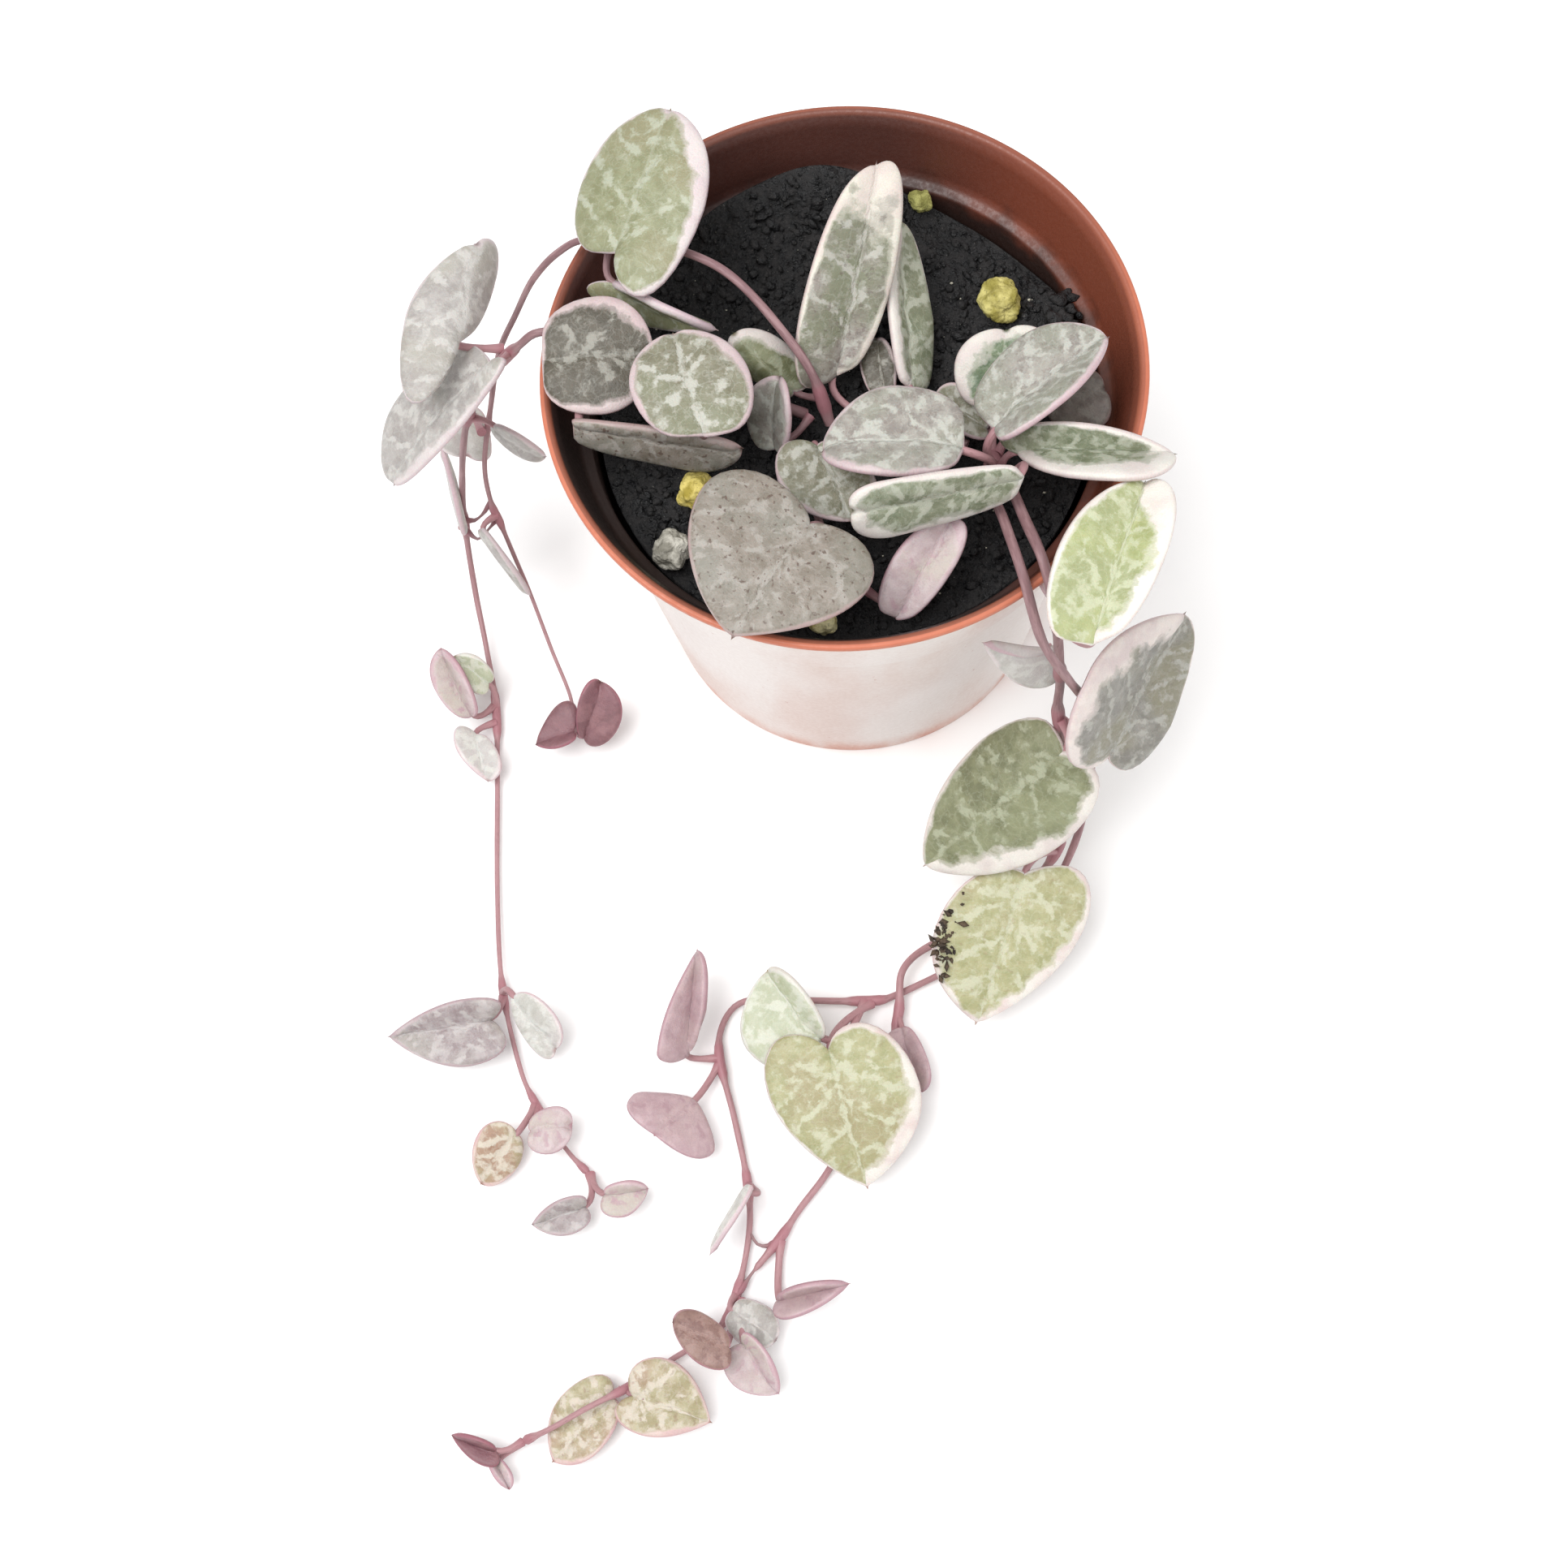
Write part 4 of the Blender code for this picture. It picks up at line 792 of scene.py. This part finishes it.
def petiole(leaf, grid, up):
    """A curved stalk from the stem into the leaf's notch, or from below where the blade covers it."""
    base = np.array(leaf.base, float)
    root = np.array(leaf.root, float)
    heading = unit(grid[8, COLUMNS] - base)
    span = float(np.linalg.norm(base - root))
    covered = min(1.0, max(0.0, 0.6 + 1.5 * float((root - base) @ heading) / span))
    base = base + covered * (0.8 * heading - 0.35 * up)
    bend = base - unit((1 - covered) * heading + covered * up) * PETIOLE_BEND * span
    bend[2] = max(bend[2], 0.6)
    leave = root + (bend - root) * 0.4
    t = np.linspace(0, 1, max(6, round(span / PETIOLE_SPACING)))[:, None]
    path = (1 - t) ** 3 * root + 3 * (1 - t) ** 2 * t * leave + 3 * (1 - t) * t ** 2 * bend + t ** 3 * base
    sink = covered * 0.1 * up
    path = np.concatenate([path, [base + heading * 0.5 - sink, base + heading * 1.1 - sink]])
    thick = min(PETIOLE_THICKEST, PETIOLE_THINNEST + 0.02 * span)
    radii = np.full(len(path), thick)
    radii[:3] = (thick + 0.18, thick + 0.12, thick + 0.05)
    radii[-2:] = (thick * 0.85, thick * 0.4)
    return path, radii


def make_leaf(leaf, seed, materials, skin):
    """A leaf with its petiole, and the places, edge distances and sides that its materials read."""
    base = np.array(leaf.base, float)
    tip = np.array(leaf.tip, float)
    grid, edge, up = blade_grid(leaf)
    length = float(np.linalg.norm(tip - base))
    grid += up * (ripple(grid, seed) * np.clip(edge / 1.0, 0.3, 1))[..., None]
    rows, columns = grid.shape[:2]
    slope = np.gradient(grid, axis=0)
    normal = unit(np.cross(np.gradient(grid, axis=1), slope) + up * 1e-6)
    thickness = LEAF_THICKNESS * min(1.0, 0.55 + length / 30)
    run = np.clip(edge / (0.9 * thickness), 0, 1)
    half = 0.5 * thickness * np.sqrt(np.clip(1 - (1 - run) ** 2, 0, 1))
    tip_distance = np.linalg.norm(grid - tip, axis=2)
    half *= np.clip(tip_distance / 1.2, 0.25, 1)

    axis = unit(tip - base)
    across = unit(np.cross(axis, up))
    offset = grid - base
    left_margin, right_margin, tip_margin = each(leaf.margins, 3)
    width = np.where(np.arange(columns) < COLUMNS, left_margin, right_margin)
    width = width * np.clip(0.35 + 1.1 * (offset @ axis) / length, 0.35, 1.0)
    margin = np.minimum(edge / width, tip_distance / tip_margin)
    side_sign = np.where(np.arange(columns) < COLUMNS, -1.0, 1.0)
    sideways = np.linalg.norm(offset - (offset @ axis)[..., None] * axis, axis=2) * side_sign
    sideways[:, COLUMNS] = offset[:, COLUMNS] @ across
    shift = np.full((rows, columns), seed * PATTERN_SHIFT)
    place = np.stack([sideways, offset @ axis - leaf.hub * length, shift], axis=2)

    points = []
    values = {"leaf_place": [], "leaf_edge": [], "leaf_margin": [], "leaf_tip": [], "leaf_side": []}

    def put(where, surface, side):
        points.append(surface[where])
        values["leaf_place"].append(place[where])
        values["leaf_edge"].append(edge[where])
        values["leaf_margin"].append(margin[where])
        values["leaf_tip"].append(tip_distance[where])
        values["leaf_side"].append(side)
        return len(points) - 1

    upper = grid + normal * half[..., None]
    lower = grid - normal * half[..., None]
    first = put((0, COLUMNS), grid, 0.5)
    last = put((rows - 1, COLUMNS), grid, 0.5)
    top = np.zeros((rows, columns), int)
    bottom = np.zeros((rows, columns), int)
    for r in range(1, rows - 1):
        for c in range(columns):
            rim = c in (0, columns - 1)
            top[r, c] = put((r, c), upper, 0.5 if rim else 1.0)
            bottom[r, c] = top[r, c] if rim else put((r, c), lower, 0.0)
    faces = []
    for c in range(columns - 1):
        faces.append((first, top[1, c + 1], top[1, c]))
        faces.append((first, bottom[1, c], bottom[1, c + 1]))
        faces.append((last, top[rows - 2, c], top[rows - 2, c + 1]))
        faces.append((last, bottom[rows - 2, c + 1], bottom[rows - 2, c]))
        for r in range(1, rows - 2):
            faces.append((top[r, c], top[r, c + 1], top[r + 1, c + 1], top[r + 1, c]))
            faces.append((bottom[r, c + 1], bottom[r, c], bottom[r + 1, c], bottom[r + 1, c + 1]))
    picks = [0] * len(faces)

    path, radii = petiole(leaf, grid, up)
    stalk_points, stalk_faces, stalk_places = tube(path, radii, STEM_SIDES)
    count = len(points)
    points += stalk_points
    faces += [tuple(index + count for index in face) for face in stalk_faces]
    picks += [1] * len(stalk_faces)
    total = len(points)
    for key, filler in (("leaf_edge", 0.0), ("leaf_margin", 0.0), ("leaf_tip", 9.0), ("leaf_side", 0.5)):
        values[key] += [filler] * (total - count)
    values["leaf_place"] += [(0.0, 0.0, 0.0)] * (total - count)
    values["stem_place"] = [(0.0, 0.0, 0.0)] * count
    values["stem_place"] += (stalk_places + (0.0, seed * SKIN_SHIFT, 0.0)).tolist()
    values["stem_node"] = [0.0] * count + np.exp(-stalk_places[:, 1] / 0.3).tolist()
    faces = [tuple(int(index) for index in face) for face in faces]
    slot = SLOTS.get(leaf.name, "leaf_green")
    add_piece(f"{leaf.name}.look", points, faces, [materials[leaf.palette], skin], slot,
              in_frame(leaf.name), values, picks, LEAF_CREASE)


def make_stem(name, route, ends, roots, skin):
    """A stem that thins towards its tip and swells where leaf stalks leave it."""
    path = smooth_path(route, STEM_SPACING)
    start, end = ends
    along = np.linspace(0, 1, len(path))
    gap = np.linalg.norm(path[:, None] - roots[None], axis=2)
    near = np.exp(-(np.clip(gap - NODE_GAP, 0, None) / NODE_LENGTH) ** 2).max(axis=1)
    wobble = np.array([noise.noise(Vector(point) * WOBBLE_SCALE) for point in path])
    radii = start + (end - start) * along ** TAPER_POWER + NODE_SWELLING * near
    radii = radii * (1 + STEM_WOBBLE * wobble)
    path[:, 2] = np.maximum(path[:, 2], radii)
    radii[-1] *= STEM_TIP_SHARE
    points, faces, places = tube(path, radii, STEM_SIDES)
    values = {"stem_place": places, "stem_node": np.repeat(near, STEM_SIDES)}
    add_piece(f"{name}.look", points, faces, [skin], "stem", in_frame(name), values)


def rounded(profile):
    """A (radius, height, round, zone) profile with its corners rounded; gives places and zones."""
    out = []
    for index, (radius, height, amount, zone) in enumerate(profile):
        corner = np.array((radius, height))
        if amount == 0 or index in (0, len(profile) - 1):
            out.append((radius, height, zone))
            continue
        before = np.array(profile[index - 1][:2]) - corner
        after = np.array(profile[index + 1][:2]) - corner
        start = corner + before / np.linalg.norm(before) * amount
        end = corner + after / np.linalg.norm(after) * amount
        for step in range(CORNER_STEPS + 1):
            t = step / CORNER_STEPS
            place = (1 - t) ** 2 * start + 2 * t * (1 - t) * corner + t ** 2 * end
            out.append((*place, zone))
    return out


def make_pot():
    """A thin moulded pot with a rolled lip, a collar and drain holes."""
    rim, top = RIM_RADIUS, RIM_HEIGHT
    profile = [
        (0, 0, 0, 0), (BASE_RADIUS - 2.4, 0, 0, 0), (BASE_RADIUS - 0.2, 0, 0.5, 0), (28.2, 41.6, 0.5, 0),
        (29.3, 42.6, 0.5, 0), (rim - 1.0, top - 2.2, 0.3, 0), (rim - 0.7, top - 1.4, 0.3, 1),
        (rim, top - 0.9, 0.3, 1), (rim, top, 0.3, 1), (rim - 0.8, top, 0.3, 1.5),
        (rim - 1.6, top - 1.2, 0.5, 2), (29.6, 48.8, 0.3, 2), (29.2, 48.2, 0.3, 2), (28.1, 47.7, 0.3, 2),
        (27.6, 42.0, 0.5, 2), (BASE_RADIUS - 1.4, FLOOR_THICKNESS, 0.8, 2), (0, FLOOR_THICKNESS, 0, 2),
    ]
    ring = rounded(profile)
    points = [(0, 0, 0)]
    zones = [0]
    for radius, height, zone in ring[1:-1]:
        for step in range(POT_SEGMENTS):
            angle = FULL_TURN * step / POT_SEGMENTS
            points.append((radius * math.cos(angle), radius * math.sin(angle), height))
            zones.append(zone)
    points.append((0, 0, FLOOR_THICKNESS))
    zones.append(2)
    faces = []
    rings = len(ring) - 2
    for step in range(POT_SEGMENTS):
        after = (step + 1) % POT_SEGMENTS
        faces.append((0, 1 + after, 1 + step))
        for index in range(rings - 1):
            first = 1 + index * POT_SEGMENTS
            above = first + POT_SEGMENTS
            faces.append((first + step, first + after, above + after, above + step))
        first = 1 + (rings - 1) * POT_SEGMENTS
        faces.append((first + step, first + after, len(points) - 1))
    zone_values = {"pot_zone": zones}
    pot = add_piece("pot.look", points, faces, [pot_material()], "terracotta_plastic", ["pot"],
                    zone_values, crease=POT_CREASE)
    for index in range(DRAIN_HOLES):
        cut_drain_hole(pot, FULL_TURN * (index + 0.5) / DRAIN_HOLES)
    bpy.context.view_layer.update()
    cut = bpy.data.meshes.new_from_object(pot.evaluated_get(bpy.context.evaluated_depsgraph_get()))
    pot.modifiers.clear()
    pot.data = cut
    for cutter in [item for item in bpy.data.objects if item.name.startswith("drain_cutter")]:
        bpy.data.objects.remove(cutter)


def cut_drain_hole(pot, angle):
    """A Boolean cut by a many-sided prism through the pot's floor."""
    sides = DRAIN_SEGMENTS
    centre = Vector((DRAIN_CIRCLE * math.cos(angle), DRAIN_CIRCLE * math.sin(angle), 0))
    points = []
    for height in (-CUT_BEYOND, FLOOR_THICKNESS + CUT_BEYOND):
        for step in range(sides):
            turn = FULL_TURN * step / sides
            spot = centre + Vector((DRAIN_RADIUS * math.cos(turn), DRAIN_RADIUS * math.sin(turn), height))
            points.append(spot * MM)
    faces = [tuple(reversed(range(sides))), tuple(range(sides, 2 * sides))]
    faces += [(step, (step + 1) % sides, sides + (step + 1) % sides, sides + step) for step in range(sides)]
    mesh = bpy.data.meshes.new("drain_cutter")
    mesh.from_pydata(points, [], faces)
    cutter = bpy.data.objects.new("drain_cutter", mesh)
    bpy.context.scene.collection.objects.link(cutter)
    cut = pot.modifiers.new("drain", "BOOLEAN")
    cut.operation = "DIFFERENCE"
    cut.object = cutter


def soil_height(x, y):
    """The smooth top of the soil, with its mounds."""
    height = SOIL_TOP
    for centre_x, centre_y, spread, rise in SOIL_MOUNDS:
        distance = math.hypot(x - centre_x, y - centre_y) / spread
        height += rise * math.exp(-distance ** 2)
    return height


def rough_soil_height(x, y):
    """Soil height with clods and crumbs."""
    place = Vector((x, y, 0))
    clods = noise.fractal(place * 0.22, 0.9, 2.1, 3)
    crumbs = abs(noise.fractal(place * 1.15 + Vector((9, 4, 2)), 0.7, 2.2, 4))
    edge = min(1.0, max(0.0, (SOIL_RADIUS - math.hypot(x, y)) / SOIL_EDGE))
    return soil_height(x, y) + edge * SOIL_ROUGHNESS * (clods + crumbs)


def ball(subdivisions):
    """Points and triangles of a unit ball."""
    shape = bmesh.new()
    bmesh.ops.create_icosphere(shape, subdivisions=subdivisions, radius=1.0)
    points = np.array([vertex.co[:] for vertex in shape.verts])
    faces = [tuple(vertex.index for vertex in face.verts) for face in shape.faces]
    shape.free()
    return points, faces


def add_faces(faces, more, first):
    """Append faces whose points start at the place first."""
    faces += [tuple(index + first for index in face) for face in more]


def random_spin(chooser):
    """A turn by any angle about an axis that leans at random."""
    angle = chooser.uniform(0, SPIN_RANGE)
    return Matrix.Rotation(angle, 3, Vector((chooser.random(), chooser.random(), 1)))


def crumb_cloud(count, size_range, lift, spread, chooser, centre=(0.0, 0.0)):
    """Many small angular lumps on the soil, as one list of points and faces."""
    lump_points, lump_faces = ball(1)
    points = []
    faces = []
    for _ in range(count):
        turn = chooser.uniform(0, FULL_TURN)
        radius = spread * math.sqrt(chooser.random())
        x, y = centre[0] + radius * math.cos(turn), centre[1] + radius * math.sin(turn)
        size = size_range[0] + (size_range[1] - size_range[0]) * chooser.random() ** 3
        stretch = np.array([chooser.uniform(low, high) for low, high in CRUMB_STRETCH])
        spin = np.array(random_spin(chooser))
        jitter = np.array([chooser.uniform(*CRUMB_JITTER) for _ in lump_points])[:, None]
        height = rough_soil_height(x, y) + lift * size
        add_faces(faces, lump_faces, len(points))
        points += ((lump_points * jitter * stretch * size) @ spin.T + (x, y, height)).tolist()
    return points, faces


def make_soil():
    """Cloddy soil with crumbs and clods in its mesh, and loose perlite flecks."""
    chooser = random.Random(SOIL_SEED)
    half = SOIL_CELLS // 2
    points = []
    index = {}
    for i in range(-half, half + 1):
        for j in range(-half, half + 1):
            u, v = i / half, j / half
            x = u * math.sqrt(1 - v * v / 2) * SOIL_RADIUS
            y = v * math.sqrt(1 - u * u / 2) * SOIL_RADIUS
            index[i, j] = len(points)
            points.append((x, y, rough_soil_height(x, y)))
    faces = []
    for i in range(-half, half):
        for j in range(-half, half):
            faces.append((index[i, j], index[i + 1, j], index[i + 1, j + 1], index[i, j + 1]))
    rim = [(i, -half) for i in range(-half, half)] + [(half, j) for j in range(-half, half)]
    rim += [(i, half) for i in range(half, -half, -1)] + [(-half, j) for j in range(half, -half, -1)]
    low = len(points)
    for key in rim:
        x, y, _ = points[index[key]]
        points.append((x * SOIL_TAPER, y * SOIL_TAPER, FLOOR_THICKNESS + SOIL_CLEARANCE))
    for step, key in enumerate(rim):
        after = (step + 1) % len(rim)
        faces.append((index[key], low + step, low + after, index[rim[after]]))
    faces.append(tuple(range(len(points) - 1, low - 1, -1)))
    crumbs = crumb_cloud(CRUMBS, CRUMB_SIZES, CRUMB_LIFT, SOIL_RADIUS - CRUMB_INSET, chooser)
    clods = crumb_cloud(CLOD_LUMPS, CLOD_SIZES, CLOD_LIFT, CLOD_SPREAD, chooser, CLOD_CENTRE)
    for lump_points, lump_faces in (crumbs, clods):
        add_faces(faces, lump_faces, len(points))
        points += lump_points
    add_piece("soil.look", points, faces, [soil_material()], "potting_soil", ["soil"], crease=NO_CREASE)
    flecks = crumb_cloud(PERLITE_FLECKS, FLECK_SIZES, FLECK_LIFT, SOIL_RADIUS - FLECK_INSET, chooser)
    look = grain_material("perlite_fleck", (150, 146, 132), (214, 210, 192))
    add_piece("soil_flecks.look", *flecks, [look], "granule_perlite_grey", crease=NO_CREASE)


def make_grain(name, node, dark, light, seed):
    """A pitted, lumpy grain in the place of a CAD granule."""
    low, high = box_mm(node)
    centre, size = (low + high) / 2, (high - low) / 2
    ball_points, faces = ball(GRAIN_SUBDIVISIONS)
    points = []
    for point in ball_points:
        place = Vector(point).normalized()
        lump = noise.noise(place * 1.4 + Vector((seed, 0, 0))) * 0.28
        facet = noise.cell(place * 1.9 + Vector((seed, 3, 1))) * 0.05
        pit = -0.10 * max(0.0, noise.noise(place * 5.5 + Vector((0, seed, 0))) - 0.15)
        fine = noise.fractal(place * 7.0, 0.9, 2.1, 3) * 0.03
        points.append(centre + size * np.array(place) * (0.93 + lump + facet + pit + fine))
    add_piece(name, points, faces, [grain_material(name, dark, light)], node, [node], crease=NO_CREASE)


def spread_index(chooser, middle, spread, lowest, highest):
    """A whole number near the middle, kept between the lowest and the highest."""
    return min(highest, max(lowest, round(chooser.gauss(middle, spread))))


def make_dirt():
    """Soil crumbs lying on one leaf beside its edge."""
    chooser = random.Random(DIRT_SEED)
    grid, _, up = blade_grid(next(leaf for leaf in PLANT if leaf.name == DIRTY_LEAF))
    points = []
    faces = []
    for _ in range(DIRT_CRUMBS):
        row = spread_index(chooser, *DIRT_ROWS)
        place = grid[row, 2 * COLUMNS - spread_index(chooser, *DIRT_COLUMNS)]
        size = chooser.uniform(*DIRT_SIZES)
        spin = random_spin(chooser)
        shift = Vector((chooser.uniform(-0.5, 0.5), chooser.uniform(-0.5, 0.5), 0))
        centre = Vector(place + up * (0.5 * LEAF_THICKNESS + 0.3 * size)) + shift
        first = len(points)
        for corner in DIRT_SHAPE:
            points.append(tuple(centre + spin @ (Vector(corner) * size * chooser.uniform(0.8, 1.2))))
        for corner in range(4):
            after = (corner + 1) % 4
            faces.append((first + corner, first + after, first + 4))
            faces.append((first + after, first + corner, first + 5))
    look = grain_material("dirt", (40, 32, 26), (86, 70, 54))
    add_piece("leaf_dirt.look", points, faces, [look], "potting_soil", crease=NO_CREASE)


def make_leaves(skin):
    """All the leaves, each with the material of its palette."""
    materials = {name: leaf_material(name, palette) for name, palette in PALETTES.items()}
    for seed, leaf in enumerate(PLANT):
        make_leaf(leaf, seed + 1, materials, skin)


def make_stage():
    """A plain pale floor, two soft lights and an even glow from all round."""
    floor_mesh = bpy.data.meshes.new("floor")
    half = FLOOR_HALF
    corners = [(-half, -half, 0), (half, -half, 0), (half, half, 0), (-half, half, 0)]
    floor_mesh.from_pydata(corners, [], [(0, 1, 2, 3)])
    shading = Shading("floor_white", Roughness=0.9)
    tone = shading.noise(shading.place(), 0.02, 2.0)
    floor_mesh.materials.append(shading.finish(shading.mix(tone, rgb(250, 250, 250), rgb(253, 253, 253))))
    floor = bpy.data.objects.new("floor", floor_mesh)
    bpy.context.scene.collection.objects.link(floor)

    world = bpy.data.worlds.new("studio")
    world.use_nodes = True
    world.node_tree.nodes["Background"].inputs["Color"].default_value = (1.0, 1.0, 1.0, 1.0)
    world.node_tree.nodes["Background"].inputs["Strength"].default_value = WORLD_STRENGTH
    bpy.context.scene.world = world
    for name, place, size, power in LIGHTS:
        lamp = bpy.data.lights.new(name, "AREA")
        lamp.size = size
        lamp.energy = power
        holder = bpy.data.objects.new(name, lamp)
        holder.location = place
        aim = Vector(LIT_POINT) - Vector(place)
        holder.rotation_euler = aim.to_track_quat("-Z", "Y").to_euler()
        bpy.context.scene.collection.objects.link(holder)
    bpy.context.scene.view_settings.view_transform = "Standard"


def make_camera():
    """A camera above the front, turned by a pitch from the horizontal and a roll."""
    pitch = math.radians(VIEW_PITCH)
    roll = math.radians(VIEW_ROLL)
    level = Vector((1, 0, 0))
    upward = Vector((0, math.sin(pitch), math.cos(pitch)))
    back = Vector((0, -math.cos(pitch), math.sin(pitch)))
    right = level * math.cos(roll) - upward * math.sin(roll)
    top = level * math.sin(roll) + upward * math.cos(roll)
    lens = bpy.data.cameras.new("camera")
    lens.lens = FOCAL_LENGTH
    lens.sensor_width = SENSOR
    lens.clip_start = CLIP_START
    camera = bpy.data.objects.new("camera", lens)
    turn = Matrix((right, top, back)).transposed().to_4x4()
    camera.matrix_world = Matrix.Translation(Vector(EYE) * MM) @ turn
    bpy.context.scene.collection.objects.link(camera)
    bpy.context.scene.camera = camera


def main():
    make_camera()
    make_stage()
    make_pot()
    make_soil()
    for seed, (node, (dark, light)) in enumerate(GRAIN_COLOURS.items()):
        make_grain(f"{node}.look", node, dark, light, seed * 5.3)
    skin = stem_material()
    roots = np.array([leaf.root for leaf in PLANT], float)
    for name, route in STEMS:
        make_stem(name, route, STEM_ENDS[name], roots, skin)
    for name, route in TWIGS:
        make_stem(name, route, TWIG_ENDS, roots, skin)
    make_leaves(skin)
    make_dirt()


main()
